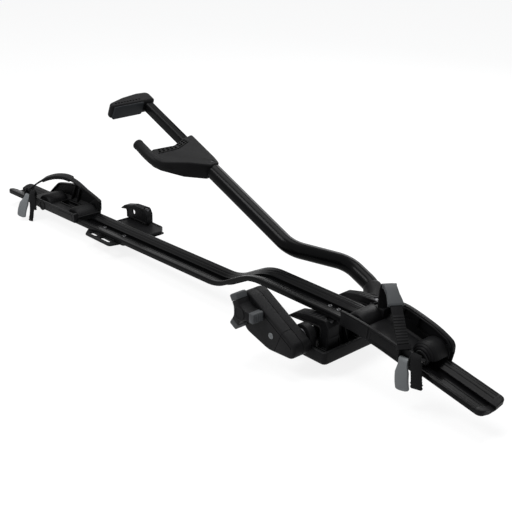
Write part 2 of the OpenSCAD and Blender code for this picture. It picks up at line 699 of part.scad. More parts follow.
// Knob housing, in the arm's frame, from two shells
housing_points = [[36, -13], [-25, -43], [-88, -50], [-127, -9], [-131, 28], [25, 12]];
housing_radii = [16, 50, 24, 8, 26, 14];
housing_split = 100;
knob_u = 93;
knob_w = -3;
lock_u = 30;
lock_w = -11.5;
shell_wall_y = housing_near - housing_wall;
housing_bosses = [[16, -12], [-78, -34], [-98, 14]];
housing_boss_r = 5;
housing_screw_r = 2;
screw_head_r = 3.4;
screw_head_h = 2.6;
screw_sink = 3;
module housing_outline(d) {
    polygon(rounded(inset(housing_points, d), [for (r = housing_radii) max(2, r - d)]));
}
module housing_slice(d, y0, y1) {
    translate([0, y1, 0]) rotate([90, 0, 0]) linear_extrude(y1 - y0) housing_outline(d);
}
module housing_posts(r, y0, y1) { for (p = housing_bosses) translate([p[0], 0, p[1]]) bar_y(r, y0, y1); }
module housing_shell() {
    color(black_plastic) in_arm() difference() {
        union() {
            difference() {
                housing_slice(0, -housing_near, -housing_split);
                housing_slice(housing_wall, -shell_wall_y, -housing_split + 1);
            }
            housing_posts(housing_boss_r, -shell_wall_y - 1, -housing_split);
            translate([-lock_u, 0, lock_w]) bar_y(lock_r + 3, -shell_wall_y - 1, -lock_end);
        }
        housing_posts(housing_screw_r + seat_gap, -housing_split - 12, -housing_split + 1);
        translate([-knob_u, 0, knob_w]) bar_y(spindle_r + run_fit, -housing_near - 1, -shell_wall_y + 1);
        translate([-lock_u, 0, lock_w]) bar_y(lock_r + run_fit, -housing_near - 1, -lock_end + 1);
    }
}
lock_end = 110;
module housing_cover() {
    color(black_plastic) in_arm() difference() {
        union() {
            difference() {
                housing_slice(0, -housing_split, -housing_far);
                housing_slice(housing_wall, -housing_split - 1, -housing_far - housing_wall);
            }
            housing_posts(housing_boss_r, -housing_split, -housing_far - 1);
            bar_y(shaft_r + 4, -shaft_near, -housing_far - 1);
        }
        bar_y(shaft_r + seat_gap, -housing_split, -housing_far + 1);
        housing_posts(housing_screw_r + seat_gap, -housing_split - 1, -housing_far + 1);
        housing_posts(screw_head_r + seat_gap, -housing_far - screw_sink, -housing_far + 1);
    }
}
module housing_screws() {
    color(steel) in_arm() {
        housing_posts(housing_screw_r, -housing_split - 11, -housing_far - screw_sink);
        housing_posts(screw_head_r, -housing_far - screw_sink, -housing_far - screw_sink + screw_head_h);
    }
}
module at_knob() { in_arm() translate([-knob_u, 0, knob_w]) children(); }
knob_gap = 0.6;
knob_back = housing_near + knob_gap;
knob_phase = 24;
knob_hub_r = 17;
lobe_w = 17;
lobe_split = 0.66;
clutch_r = 13;
clutch_h = 7;
spindle_in = 116;
spindle_flange_r = 10;
module knob_lobes(r0, r1, corner) {
    for (k = [0:2]) rotate([0, 0, -knob_phase - 120 * k])
        polygon(rounded_box(r0, r1, -lobe_w / 2, lobe_w / 2, corner));
}
module knob_plate(y0, y1) {
    translate([0, y1, 0]) rotate([90, 0, 0]) mirror([0, 1]) linear_extrude(y1 - y0) children();
}
module knob_body() {
    color(black_plastic) at_knob() difference() {
        knob_plate(-knob_back - knob_t, -knob_back) union() {
            circle(knob_hub_r);
            knob_lobes(0, knob_r * lobe_split, 1);
        }
        bar_y(clutch_r + seat_gap, -knob_back - clutch_h - seat_gap, -knob_back + 1);
        bar_y(spindle_r + seat_gap, -knob_back - knob_t + 6, -knob_back + 1);
    }
}
module knob_tips() {
    color(pad_grey) at_knob() knob_plate(-knob_back - knob_t, -knob_back - 1)
        knob_lobes(knob_r * lobe_split + seat_gap, knob_r, 4);
}
module knob_spindle() {
    color(steel) at_knob() {
        bar_y(spindle_r, -knob_back - knob_t + 6.5, -spindle_in);
        bar_y(spindle_flange_r, -shell_wall_y + slide_gap, -spindle_in);
    }
}
module clutch_washers() {
    color(steel) at_knob() difference() {
        bar_y(clutch_r, -knob_back - clutch_h, -knob_back - 1);
        bar_y(spindle_r + seat_gap, -knob_back - clutch_h - 1, -knob_back + 1);
    }
}
module lock_cylinder() {
    color(lever_grey) in_arm() translate([-lock_u, 0, lock_w])
        bar_y(lock_r, -housing_near - 0.6, -lock_end - 0.5);
}

// Straps: each arch lies in an upright plane across the tray, from its buckle to its far end
module in_plane(start, end) {
    translate([start[0], start[1], 0])
        rotate([0, 0, atan2(end[1] - start[1], end[0] - start[0])]) rotate([90, 0, 0]) children();
}
module arch(points, width) { translate([0, 0, -width / 2]) linear_extrude(width) polygon(points); }
strap_half = strap_t / 2;
strap_fit = 0.2;
pad_low = strap_half + strap_fit;
// A path given by shares of the span between the ends and by heights
function arch_path(points, span) = spline([for (p = points) [p[0] * span, p[1]]]);
front_skirt_face = -half_w - seat_gap - skirt_t;
far_wall_y = half_w + seat_gap;
front_strap_line = [[186, front_skirt_face - 7], [74, far_wall_y - 6.5]];
front_strap_path = arch_path([[0.007, 82], [0.075, 92], [0.209, 108], [0.417, 133], [0.611, 147],
    [0.775, 152], [0.894, 145], [0.954, 123], [0.961, 98]], norm(front_strap_line[1] - front_strap_line[0]));
front_pad_range = [17, 22];
// The rear strap's places count from the tray's rear end
rear_skirt_face = -half_w - slide_gap - skirt_t;
rear_wall_y = half_w + slide_gap;
rear_strap_line = [[121, rear_skirt_face - 0.6], [235, rear_wall_y + 3]];
rear_strap_path = arch_path([[0.014, 39.4], [0.101, 51.4], [0.275, 67.4], [0.478, 78.4], [0.666, 80.4],
    [0.797, 75.4], [0.912, 66.4], [1.043, 51.4], [1.101, 43.4]],
    norm(rear_strap_line[1] - rear_strap_line[0]));
rear_pad_range = [11, 22];
module at_rear_end() { translate([tray_rear_x, 0, tray_rear_z]) children(); }
rib_h = 0.8;
rib_count = 12;
// The strap's outline, with a ribbed grip over its first stretch
function strap_outline(path) = concat(offset_path(path, -strap_half),
    reversed([for (i = [0:len(path) - 1]) path[i] + normal_at(path, i)
        * (strap_half + (i > 1 && i < rib_count && i % 2 == 0 ? rib_h : 0))]));
module front_strap() {
    color(soft_rubber) in_plane(front_strap_line[0], front_strap_line[1])
        arch(strap_outline(front_strap_path), strap_w);
}
module rear_strap() {
    color(soft_rubber) at_rear_end() in_plane(rear_strap_line[0], rear_strap_line[1])
        arch(strap_outline(rear_strap_path), strap_w);
}
// A rim pad is a flat sleeve around its strap
module rim_pad(path, range) {
    stretch = part_of(path, range[0], range[1]);
    wide = part_of(path, range[0] - 1, range[1] + 1);
    difference() {
        arch(band(stretch, -pad_low - rim_pad_t, pad_low + rim_pad_t), rim_pad_w);
        arch(band(wide, -pad_low, pad_low), strap_w + 2 * strap_fit);
    }
}
module front_rim_pad() {
    color(pad_grey) in_plane(front_strap_line[0], front_strap_line[1])
        rim_pad(front_strap_path, front_pad_range);
}
module rear_rim_pad() {
    color(black_plastic) at_rear_end() in_plane(rear_strap_line[0], rear_strap_line[1])
        rim_pad(rear_strap_path, rear_pad_range);
}

// Buckles: a mouth for the strap, a back plate, two cheeks and a lever on a pin along X
buckle_half = 13;
cheek_t = 2.8;
cheek_r = 7;
lever_hub_r = 5;
lever_hub_half = buckle_half - cheek_t - slide_gap;
plate_t = 3;
pin_out = 8.5;
module lever_body() {
    difference() {
        union() {
            rotate([0, 90, 0]) translate([0, 0, -lever_hub_half])
                cylinder(r = lever_hub_r, h = 2 * lever_hub_half);
            lever_handle(lever_hub_half, 0, lever_outer);
            lever_handle(buckle_half - 1, 12, lever_outer);
        }
        rotate([0, 90, 0]) translate([0, 0, -buckle_half]) cylinder(r = pin_r + run_fit, h = 2 * buckle_half);
    }
}
// The handle's outline: distance out from the pin, height above it
lever_outer = rounded([[2, 3], [-4.5, 3], [-9, -lever_len * 0.35], [-10, -lever_len * 0.7], [-7, -lever_len],
    [-3, -lever_len], [-5, -lever_len * 0.7], [-4, -lever_len * 0.35]], [1, 1, 12, 12, 1.5, 1.5, 12, 12]);
module lever_handle(half, below, outline) {
    intersection() {
        translate([-half, 0, 0]) rotate([90, 0, 90]) linear_extrude(2 * half) polygon(outline);
        translate([-half, -50, -100 - below]) cube([2 * half, 100, 100 + (below > 0 ? 0 : 50)]);
    }
}
module lever_pin_body() {
    rotate([0, 90, 0]) translate([0, 0, -buckle_half]) cylinder(r = pin_r, h = 2 * buckle_half);
}
module buckle_body(top, bottom) {
    difference() {
        union() {
            block([-buckle_half, buckle_half], [pin_out - plate_t, pin_out], [-bottom, top]);
            for (side = [-1, 1]) {
                x = side > 0 ? [buckle_half - cheek_t, buckle_half] : [-buckle_half, -buckle_half + cheek_t];
                block(x, [-1, pin_out - 1], [-cheek_r, cheek_r]);
                translate([x[0], 0, 0]) rotate([0, 90, 0]) cylinder(r = cheek_r, h = cheek_t);
            }
        }
        rotate([0, 90, 0]) translate([0, 0, -50]) cylinder(r = pin_r + seat_gap, h = 100);
    }
}
mouth_y = [-6, 19];
mouth_h = 11;
mouth_half = 14;
// The mouth stands on the back plate, round the strap's near end
module buckle_mouth(top) { block([-mouth_half, mouth_half], mouth_y, [top - 0.5, top + mouth_h]); }

front_pin = [190, front_skirt_face - seat_gap - pin_out, 66];
front_buckle_top = 12.5;
rear_pin = [125, rear_skirt_face - seat_gap - pin_out, 25.4];
rear_buckle_top = 9;
buckle_bottom = 16;
rear_lever_tilt = 20;
module front_buckle() {
    color(black_plastic) difference() {
        translate(front_pin) {
            buckle_body(front_buckle_top, buckle_bottom);
            buckle_mouth(front_buckle_top);
        }
        in_plane(front_strap_line[0], front_strap_line[1])
            arch(band(front_strap_path, -pad_low, pad_low + rib_h), strap_w + 2 * strap_fit);
    }
}
module front_lever_pin() { color(steel) translate(front_pin) lever_pin_body(); }
module front_lever() { color(lever_grey) translate(front_pin) lever_body(); }
module rear_buckle() {
    color(black_plastic) at_rear_end() difference() {
        translate(rear_pin) {
            buckle_body(rear_buckle_top, buckle_bottom);
            buckle_mouth(rear_buckle_top);
        }
        in_plane(rear_strap_line[0], rear_strap_line[1])
            arch(band(rear_strap_path, -pad_low, pad_low + rib_h), strap_w + 2 * strap_fit);
    }
}
module rear_lever_pin() { color(steel) at_rear_end() translate(rear_pin) lever_pin_body(); }
module rear_lever() {
    color(lever_grey) at_rear_end() translate(rear_pin) rotate([-rear_lever_tilt, 0, 0]) lever_body();
}

// Strap tails: the spare strap, which hangs beside its buckle
tail_w = 18;
function tail_path(drop, out) = spline([[2.5, 20], [-2, 12], [-2.5, 0], [-3, -drop * 0.5], [-out, -drop]]);
module tail_body(drop, out) {
    translate([mouth_half + seat_gap, 0, 0]) rotate([90, 0, 90]) linear_extrude(tail_w)
        polygon(band(tail_path(drop, out), -strap_half, strap_half));
}
module front_strap_tail() { color(soft_rubber) translate(front_pin) tail_body(40, 4); }
module rear_strap_tail() { color(soft_rubber) at_rear_end() translate(rear_pin) tail_body(58, 8); }

// Wheel holders
front_holder_x = [36, 214];
front_dome = [62, 24];
front_cup = [195, 26];
front_cup_y = -10;
deck_t = 3;
rib_t = 3;
front_wall_points = [[40, front_z(40) - 4], [40, 90], [62, 103], [100, 115], [128, 117], [184, 105],
    [222, 89], [230, 79], [230, 66], [222, front_z(222) - 4], [140, front_z(140) - 4]];
front_wall_radii = [3, 14, 20, 30, 60, 60, 10, 6, 8, 3, 3];
front_ribs = [98, 120, 147, 205];
module dome(x, z, r, y0, y1) { translate([x, 0, z]) bar_y(r, y0, y1); }
module front_holder() {
    color(black_plastic) difference() {
        union() {
            between(front_holder_x[0], front_holder_x[1])
                front_sweep(wall_section(front_skirt_face, front_skirt_face + skirt_t, -4, front_skirt_h),
                    nose_len);
            plate_y(rounded(front_wall_points, front_wall_radii), far_wall_y, far_wall_y + skirt_t);
            between(front_holder_x[0], front_holder_x[1] - 6)
                front_sweep(wall_section(front_skirt_face + 1, far_wall_y + 1, lip_h, lip_h + deck_t),
                    nose_len);
            dome(front_dome[0], front_z(front_dome[0]), front_dome[1], -26, 28);
            dome(front_cup[0], front_z(front_cup[0]) + lip_h + deck_t, front_cup[1], front_cup_y,
                far_wall_y + 1);
            for (x = front_ribs) block([x, x + rib_t], [far_wall_y - 7, far_wall_y + 1],
                [front_z(x), 98 - (x - 98) * 0.12]);
            block([62, 86], [18, far_wall_y + 1],
                [80, front_strap_path[len(front_strap_path) - 1][1] - seat_gap]);
        }
        front_sweep(tray_space(seat_gap), nose_len);
    }
}
// Blank plates on the holders' near sides
badge_t = 1.2;
module front_holder_plate() {
    color(black_plastic) between(front_holder_x[0] + 4, 99)
        front_sweep(wall_section(front_skirt_face - badge_t, front_skirt_face - seat_gap,
            1, front_skirt_h - 3), nose_len);
}
rear_holder_x = [102, 312];
rear_skirt_x = 140;
rear_lug_h = 14;
rear_wall_points = [[86, 0], [138, 42], [197, 53], [229, 58.5], [312, 38], [306, 0]];
rear_wall_radii = [3, 20, 30, 20, 8, 3];
rear_domes = [[158, 28], [284, 27]];
rear_ribs = [196, 212, 246];
rear_window = [[190, 248], [2, 26]];
module rear_holder() {
    color(black_plastic) difference() {
        in_rear_run() difference() {
            union() {
                translate([rear_skirt_x, 0, 0])
                    run(wall_section(rear_skirt_face, rear_skirt_face + skirt_t, 0, rear_skirt_h),
                        rear_holder_x[1] - rear_skirt_x);
                translate([rear_holder_x[0], 0, 0])
                    run(wall_section(rear_skirt_face, rear_skirt_face + skirt_t, 0, rear_lug_h),
                        rear_skirt_x);
                plate_y(rounded(rear_wall_points, rear_wall_radii), rear_wall_y, rear_wall_y + skirt_t);
                block(rear_holder_x, [rear_skirt_face + 1, rear_wall_y + 1],
                    [lip_h, lip_h + slide_gap + deck_t]);
                for (d = rear_domes) dome(d[0], 0, d[1], -24, 26);
                for (x = rear_ribs) block([x, x + rib_t], [rear_wall_y - 7, rear_wall_y + 1], [lip_h, 46]);
            }
            translate([rear_holder_x[0] - 50, 0, 0]) run(tray_space(slide_gap), 400);
            block(rear_window[0], rear_window[1], [0, 20]);
        }
        at_rear_end() in_plane(rear_strap_line[0], rear_strap_line[1])
            arch(band(rear_strap_path, -pad_low, pad_low), strap_w + 2 * strap_fit);
    }
}
module rear_holder_plate() {
    color(black_plastic) in_rear_run() translate([244, 0, 0])
        run(wall_section(rear_skirt_face - badge_t, rear_skirt_face - seat_gap, 3, rear_skirt_h - 4), 60);
}
// Key under the holder's deck, which runs in the tray's slot
key_x = [112, 190];
module holder_key() {
    color(black_plastic) in_rear_run()
        block(key_x, [-slot_half + slide_gap, slot_half - slide_gap],
            [-slot_drop + slide_gap, rail_low + slide_gap]);
}

// Rear bar bracket
bracket_x0 = bracket_x - bracket_len / 2;
bracket_x1 = bracket_x + bracket_len / 2;
wing_in = half_w - 6;
bracket_bolt_places = [bracket_x - 40 - tray_rear_x, bracket_x + 36 - tray_rear_x];
wing_slot_r = 5.5;
wing_slots = [[bracket_x - 34, 18], [bracket_x + 6, 28]];
wing_slot_y = -40;
saddle_half = 20;
wing_lap = 1;
seat_pad_inset = 2;
bracket_outline = rounded([[bracket_x0, -30], [bracket_x0 + 22, -bracket_near],
    [bracket_x1 - 10, -bracket_near], [bracket_x1 - 4, -30], [bracket_x1, 40],
    [bracket_x1, bracket_far - 20], [bracket_x1 - 22, bracket_far], [bracket_x0 + 8, bracket_far],
    [bracket_x0, bracket_far - 14]], [6, 8, 8, 6, 6, 8, 10, 8, 8]);
module rear_bracket() {
    color(black_plastic) difference() {
        union() {
            translate([0, 0, seat_pad_t]) linear_extrude(bracket_z - seat_pad_t) polygon(bracket_outline);
            intersection() {
                translate([0, 0, seat_pad_t]) linear_extrude(wing_z - seat_pad_t) polygon(bracket_outline);
                union() {
                    block([-2000, 0], [-200, wing_lap - saddle_half], [0, 40]);
                    block([-2000, 0], [wing_in, 200], [0, 40]);
                }
            }
            in_rear_run() block([bracket_x0 + 4 - tray_rear_x, bracket_x1 - 4 - tray_rear_x],
                [-saddle_half, saddle_half], [floor_z - 4, floor_z]);
        }
        for (s = wing_slots) translate([0, wing_slot_y, -1]) {
            block([s[0], s[0] + s[1]], [-wing_slot_r, wing_slot_r], [0, 40]);
            for (x = [s[0], s[0] + s[1]]) translate([x, 0, 0]) cylinder(r = wing_slot_r, h = 40);
        }
        block([-2000, 0], [-200, -saddle_half], [0, wing_z - near_wing_t]);
        claw_slot(rear_claw_tip, rear_claw_y, wing_z + 1);
        in_rear_run() for (x = bracket_bolt_places) translate([x, 0, floor_z - 30])
            cylinder(r = tray_bolt_r + seat_gap, h = 60);
    }
}
module rear_seat_pad() {
    color(soft_rubber) difference() {
        linear_extrude(seat_pad_t)
            polygon(rounded_box(bracket_x0 + 6, bracket_x1 - 6, seat_pad_inset - saddle_half,
                bracket_far - 6, 6));
        claw_slot(rear_claw_tip, rear_claw_y, 20);
        in_rear_run() for (x = bracket_bolt_places) translate([x, 0, floor_z - 30])
            cylinder(r = tray_bolt_r + 1, h = 60);
    }
}
bracket_bolt_len = 6;
module bracket_bolts() {
    color(steel) in_rear_run() for (x = bracket_bolt_places) translate([x, 0, floor_z]) {
        translate([0, 0, -bracket_bolt_len]) cylinder(r = tray_bolt_r, h = bracket_bolt_len + tray_wall + 1);
        translate([0, 0, tray_wall]) cylinder(r = tray_bolt_head_r, h = tray_bolt_head_h);
    }
}

tray();
rear_end_cap();
front_end_cap();
foot_base();
front_seat_pad();
foot_tower();
tray_bolts();
near_claw();
near_claw_bolt();
far_claw();
far_claw_bolt();
pivot_shaft();
pivot_washers();
housing_shell();
housing_cover();
housing_screws();
arm_knuckle();
knuckle_screw();
arm_tube();
lower_jaw();
jaw_horn();
lower_jaw_grip();
jaw_screw();
screw_bearing();
drive_cable();
lead_screw();
slide_bar();
screw_nut();
upper_jaw();
upper_jaw_pad();
knob_body();
knob_tips();
knob_spindle();
clutch_washers();
lock_cylinder();
front_holder();
front_holder_plate();
front_strap();
front_rim_pad();
front_strap_tail();
front_buckle();
front_lever_pin();
front_lever();
rear_holder();
rear_holder_plate();
holder_key();
rear_strap();
rear_rim_pad();
rear_strap_tail();
rear_buckle();
rear_lever_pin();
rear_lever();
rear_bracket();
rear_seat_pad();
bracket_bolts();
rear_claw();
rear_claw_bolt();
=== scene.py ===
import json
import math

import bmesh
import bpy
from bpy.props import FloatProperty, FloatVectorProperty, IntProperty, PointerProperty
from mathutils import Matrix, Vector


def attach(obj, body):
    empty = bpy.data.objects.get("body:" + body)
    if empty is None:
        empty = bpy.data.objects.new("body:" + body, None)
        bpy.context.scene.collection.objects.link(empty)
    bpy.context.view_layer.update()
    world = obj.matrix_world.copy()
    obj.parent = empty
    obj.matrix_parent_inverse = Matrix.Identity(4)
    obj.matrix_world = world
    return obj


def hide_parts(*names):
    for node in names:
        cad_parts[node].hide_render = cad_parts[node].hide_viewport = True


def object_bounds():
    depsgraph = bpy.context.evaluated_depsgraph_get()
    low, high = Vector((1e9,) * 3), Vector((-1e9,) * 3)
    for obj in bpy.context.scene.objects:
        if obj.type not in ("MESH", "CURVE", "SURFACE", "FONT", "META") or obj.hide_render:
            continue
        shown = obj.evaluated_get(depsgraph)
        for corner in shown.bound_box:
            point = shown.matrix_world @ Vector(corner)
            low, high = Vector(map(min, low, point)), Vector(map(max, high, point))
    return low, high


bl_info = {
    "name": "Roof bike carrier", "version": (1, 0, 0), "blender": (4, 5, 0),
    "location": "View3D > Sidebar > Carrier",
    "description": "Builds the visible pieces of a roof mounted bike carrier on its packed frame",
    "category": "Object",
}

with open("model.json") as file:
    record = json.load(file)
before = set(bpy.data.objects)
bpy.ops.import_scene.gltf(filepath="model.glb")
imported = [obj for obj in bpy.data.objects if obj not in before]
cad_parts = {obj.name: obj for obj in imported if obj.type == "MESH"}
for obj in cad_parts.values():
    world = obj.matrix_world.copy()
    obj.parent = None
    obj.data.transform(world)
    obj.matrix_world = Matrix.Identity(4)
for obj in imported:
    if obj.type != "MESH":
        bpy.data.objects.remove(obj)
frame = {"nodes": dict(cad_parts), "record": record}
CAD_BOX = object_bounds()
NODES = frame["nodes"]
RECORD = frame["record"]
MM = 0.001
X_AXIS, Y_AXIS, Z_AXIS = (Vector(v) for v in ((1, 0, 0), (0, 1, 0), (0, 0, 1)))
FINISHES = {}

# Sizes in millimetres that the pieces share with the frame.
HALF_W = 34.5
WALL = 2.2
LIP_H = 8.0
LIP_R = 3.0
SLOT_HALF = 8.0
SLOT_DROP = 4.0
RAIL_LOW = 2.0
LIP_DROP = 1.5
RAIL_IN = SLOT_HALF + WALL
REAR_X, REAR_Z, REAR_SLOPE = -1114.988, 6.643, 1.2
REAR_RUN = 785.0
RISE_R, RISE_SLOPE = 120.0, 28.0
LEVEL_X, LEVEL_END, DECK_Z = -177.8, 4.0, 73.5
NOSE_R, NOSE_SLOPE, NOSE_LEN = 700.0, 11.5, 198.0
CAP_LEN = 14.0
HINGE_X, HINGE_Z, ARM_ANGLE = -19.0, 40.0, 23.2
TUBE_R, BEND_R, TUBE_REACH, ARM_Y = 16.5, 55.0, 151.0, 63.5
S_START, S_TURN, TUBE_START, TUBE_END = 84.0, 47.0, 49.0, 470.0
JAW_BACK, JAW_HALF, PAD_U = 441.0, 18.5, 675.0
BAR_HALF, BAR_CORNER = 10.25, 4.0
FRONT_FACE = -39.1
REAR_FACE = -39.4
FRONT_PIN = (190.0, -47.7, 66.0)
REAR_PIN = (-989.988, -48.0, 32.043)
SEAT_T, PLATE_LOW = 2.5, 2.6
FOOT_HALF, FOOT_NEAR, FOOT_FAR, FOOT_TOP, FOOT_FLOOR = 38.0, -76.0, 107.4, 24.0, 12.1
CLAW_LOW, CLAW_LEN, CLAW_NUT, CLAW_NUT_ROOM = 12.3, 104.0, 93.0, 7.4
KNUCKLE_R, SLEEVE_START, SLEEVE_TURN = 19.0, 24.0, 49.0
HOUSING_NEAR, HOUSING_SPLIT, HOUSING_FAR = -122.0, -100.0, -80.0
KNOB_BACK, KNOB_FACE, KNOB_PHASE = -122.7, -148.4, 24.0
HOLDER_WALL = 4.4
STRAP_HALF_W, STRAP_HALF_T, STRAP_STEP = 10.0, 1.5, 1.3
LEVER_STEP, LEVER_TIP_R = 1.4, 5.0
BRACKET_X = (-759.0, -635.0)


# Places: millimetres in a piece's own frame to metres in the carrier's frame.
def base(x, y, z):
    return Vector((x, y, z)) * MM


def side(x, z, y):
    return base(x, y, z)


def in_arm(u, v, w):
    c, s = math.cos(math.radians(ARM_ANGLE)), math.sin(math.radians(ARM_ANGLE))
    return base(HINGE_X - u * c + w * s, v, HINGE_Z + u * s + w * c)


def arm_side(u, w, v):
    return in_arm(u, v, w)


def in_rear(x, y, z):
    c, s = math.cos(math.radians(REAR_SLOPE)), math.sin(math.radians(REAR_SLOPE))
    return base(REAR_X + x * c - z * s, y, REAR_Z + x * s + z * c)


def rear_side(x, z, y):
    return in_rear(x, y, z)


# Outlines and paths.
def rounded(points, radii, steps=6):
    """A polygon with each corner replaced by an arc of its own radius."""
    out = []
    n = len(points)
    for i, p in enumerate(points):
        p = Vector(p)
        a = (Vector(points[i - 1]) - p).normalized()
        b = (Vector(points[(i + 1) % n]) - p).normalized()
        r = radii[i] if isinstance(radii, (list, tuple)) else radii
        half = math.acos(max(-1.0, min(1.0, a.dot(b)))) / 2
        centre = p + (a + b).normalized() * r / math.sin(half)
        start = p + a * r / math.tan(half) - centre
        turn = -math.copysign(math.pi - 2 * half, a.x * b.y - a.y * b.x)
        for k in range(steps + 1):
            t = turn * k / steps
            out.append((centre.x + start.x * math.cos(t) - start.y * math.sin(t),
                        centre.y + start.x * math.sin(t) + start.y * math.cos(t)))
    return out


def rounded_box(x0, x1, y0, y1, r, steps=5):
    return rounded([(x0, y0), (x1, y0), (x1, y1), (x0, y1)], r, steps)


def spline(points, steps=8):
    """A smooth curve through chosen points."""
    pts = [Vector(p) for p in points]
    n = len(pts) - 1
    out = []
    for i in range(n):
        p0, p1, p2, p3 = pts[max(0, i - 1)], pts[i], pts[i + 1], pts[min(n, i + 2)]
        for k in range(steps):
            t = k / steps
            out.append(0.5 * (2 * p1 + (p2 - p0) * t + (2 * p0 - 5 * p1 + 4 * p2 - p3) * t * t
                              + (3 * p1 - p0 - 3 * p2 + p3) * t ** 3))
    return out + [pts[n]]


def inset(points, d):
    """An outline drawn in by a distance."""
    n = len(points)
    area = sum(points[i - 1][0] * points[i][1] - points[i][0] * points[i - 1][1] for i in range(n))
    turn = math.copysign(1.0, area)
    out = []
    for i, p in enumerate(points):
        p = Vector(p)
        a = (p - Vector(points[i - 1])).normalized()
        b = (Vector(points[(i + 1) % n]) - p).normalized()
        m = Vector((-a.y, a.x)) * turn
        k = Vector((-b.y, b.x)) * turn
        out.append(tuple(p + (m + k) * (d / (1 + m.dot(k)))))
    return out


def heading(path, i):
    """The direction of a path at one of its points."""
    return (Vector(path[min(len(path) - 1, i + 1)]) - Vector(path[max(0, i - 1)])).normalized()


def band(path, low, high):
    """An outline along a path, between two distances to its left."""
    rows = []
    for reach in (low, high):
        row = []
        for i, p in enumerate(path):
            d = heading(path, i)
            row.append((p[0] - d.y * reach, p[1] + d.x * reach))
        rows.append(row)
    return rows[0] + rows[1][::-1]


def crown(y):
    width = HALF_W - LIP_R - RAIL_IN
    return RAIL_LOW + (LIP_H - RAIL_LOW) * math.sin(math.pi / 2 * (y - RAIL_IN) / width)


def tray_section(lines):
    """The tray's cross section, with shallow lines drawn along its rails."""
    width = HALF_W - LIP_R - RAIL_IN
    top, under = [], []
    for i in range(17):
        y = RAIL_IN + width * i / 16
        top.append((y, crown(y) - (0.45 if lines and i in (6, 12) else 0.0)))
        under.append((y, crown(y) - WALL))
    lip, lip_in = [], []
    for i in range(1, 6):
        a = math.radians(90 - 18 * i)
        lip.append((HALF_W - LIP_R + LIP_R * math.cos(a), LIP_H - LIP_R + LIP_R * math.sin(a)))
        lip_in.append((HALF_W - LIP_R + (LIP_R - WALL) * math.cos(a),
                       LIP_H - LIP_R + (LIP_R - WALL) * math.sin(a)))
    half = [(SLOT_HALF, -SLOT_DROP), (SLOT_HALF, RAIL_LOW - 0.9), (SLOT_HALF + 0.5, RAIL_LOW - 0.3)]
    half += top + lip + [(HALF_W, -LIP_DROP), (HALF_W - WALL, -LIP_DROP)] + lip_in[::-1] + under[::-1]
    half += [(RAIL_IN, -SLOT_DROP - WALL)]
    return half + [(-y, z) for y, z in half[::-1]]


def tray_frames(x0, x1):
    """Points of the tray's path, each with its slope, from one X to another."""
    rad = math.radians
    end_x = REAR_X + REAR_RUN
    end_z = REAR_Z + REAR_RUN * math.tan(rad(REAR_SLOPE))
    crest_x = LEVEL_X - RISE_R * math.sin(rad(RISE_SLOPE))
    crest_z = DECK_Z - RISE_R * (1 - math.cos(rad(RISE_SLOPE)))
    path = []
    for i in range(14):
        x = REAR_X + REAR_RUN * i / 14
        path.append((x, REAR_Z + (x - REAR_X) * math.tan(rad(REAR_SLOPE)), REAR_SLOPE))
    for i in range(13):
        a = REAR_SLOPE + (RISE_SLOPE - REAR_SLOPE) * i / 12
        path.append((end_x + RISE_R * (math.sin(rad(a)) - math.sin(rad(REAR_SLOPE))),
                     end_z + RISE_R * (math.cos(rad(REAR_SLOPE)) - math.cos(rad(a))), a))
    for i in range(13):
        a = RISE_SLOPE * (1 - i / 12)
        path.append((crest_x + RISE_R * (math.sin(rad(RISE_SLOPE)) - math.sin(rad(a))),
                     crest_z + RISE_R * (math.cos(rad(a)) - math.cos(rad(RISE_SLOPE))), a))
    for i in range(1, 4):
        path.append((LEVEL_X + (LEVEL_END - LEVEL_X) * i / 4, DECK_Z, 0.0))
    for i in range(25):
        a = NOSE_SLOPE * i / 24
        path.append((LEVEL_END + NOSE_R * math.sin(rad(a)), DECK_Z - NOSE_R * (1 - math.cos(rad(a))), -a))
    nx, nz, _ = path[-1]
    for i in range(1, 9):
        d = NOSE_LEN * i / 8
        path.append((nx + d * math.cos(rad(NOSE_SLOPE)), nz - d * math.sin(rad(NOSE_SLOPE)), -NOSE_SLOPE))

    def at(x):
        for p, q in zip(path, path[1:]):
            if p[0] <= x <= q[0]:
                t = (x - p[0]) / (q[0] - p[0])
                return tuple(a + (b - a) * t for a, b in zip(p, q))
        return path[-1] if x > path[-1][0] else path[0]

    return [at(x0)] + [p for p in path if x0 + 1 < p[0] < x1 - 1] + [at(x1)]


def along_tray(point, d, y, h):
    """A place off a point of the tray's path: a distance along it, across it and up from it."""
    x, z, slope = point
    s, c = math.sin(math.radians(slope)), math.cos(math.radians(slope))
    return base(x + d * c - s * h, y, z + d * s + c * h)


def tray_ring(point, section):
    return [along_tray(point, 0.0, y, h) for y, h in section]


# Modelling by operators.
def deselect():
    bpy.ops.object.select_all(action="DESELECT")


def only(obj):
    deselect()
    obj.select_set(True)
    bpy.context.view_layer.objects.active = obj


def edit(obj):
    only(obj)
    bpy.ops.object.mode_set(mode="EDIT")
    bpy.ops.mesh.select_mode(type="FACE")
    bpy.ops.mesh.select_all(action="SELECT")


def leave_edit():
    bpy.ops.object.mode_set(mode="OBJECT")


def named(name):
    obj = bpy.context.object
    obj.name = name
    obj.data.name = name
    return obj


def apply_all(obj):
    only(obj)
    for modifier in list(obj.modifiers):
        bpy.ops.object.modifier_apply(modifier=modifier.name)


def round_edges(obj, width):
    """Rounds the edges that turn by more than 50 degrees."""
    modifier = obj.modifiers.new("round_edges", "BEVEL")
    modifier.width = width * MM
    modifier.segments = 2
    modifier.limit_method = "ANGLE"
    modifier.angle_limit = math.radians(50.0)
    apply_all(obj)


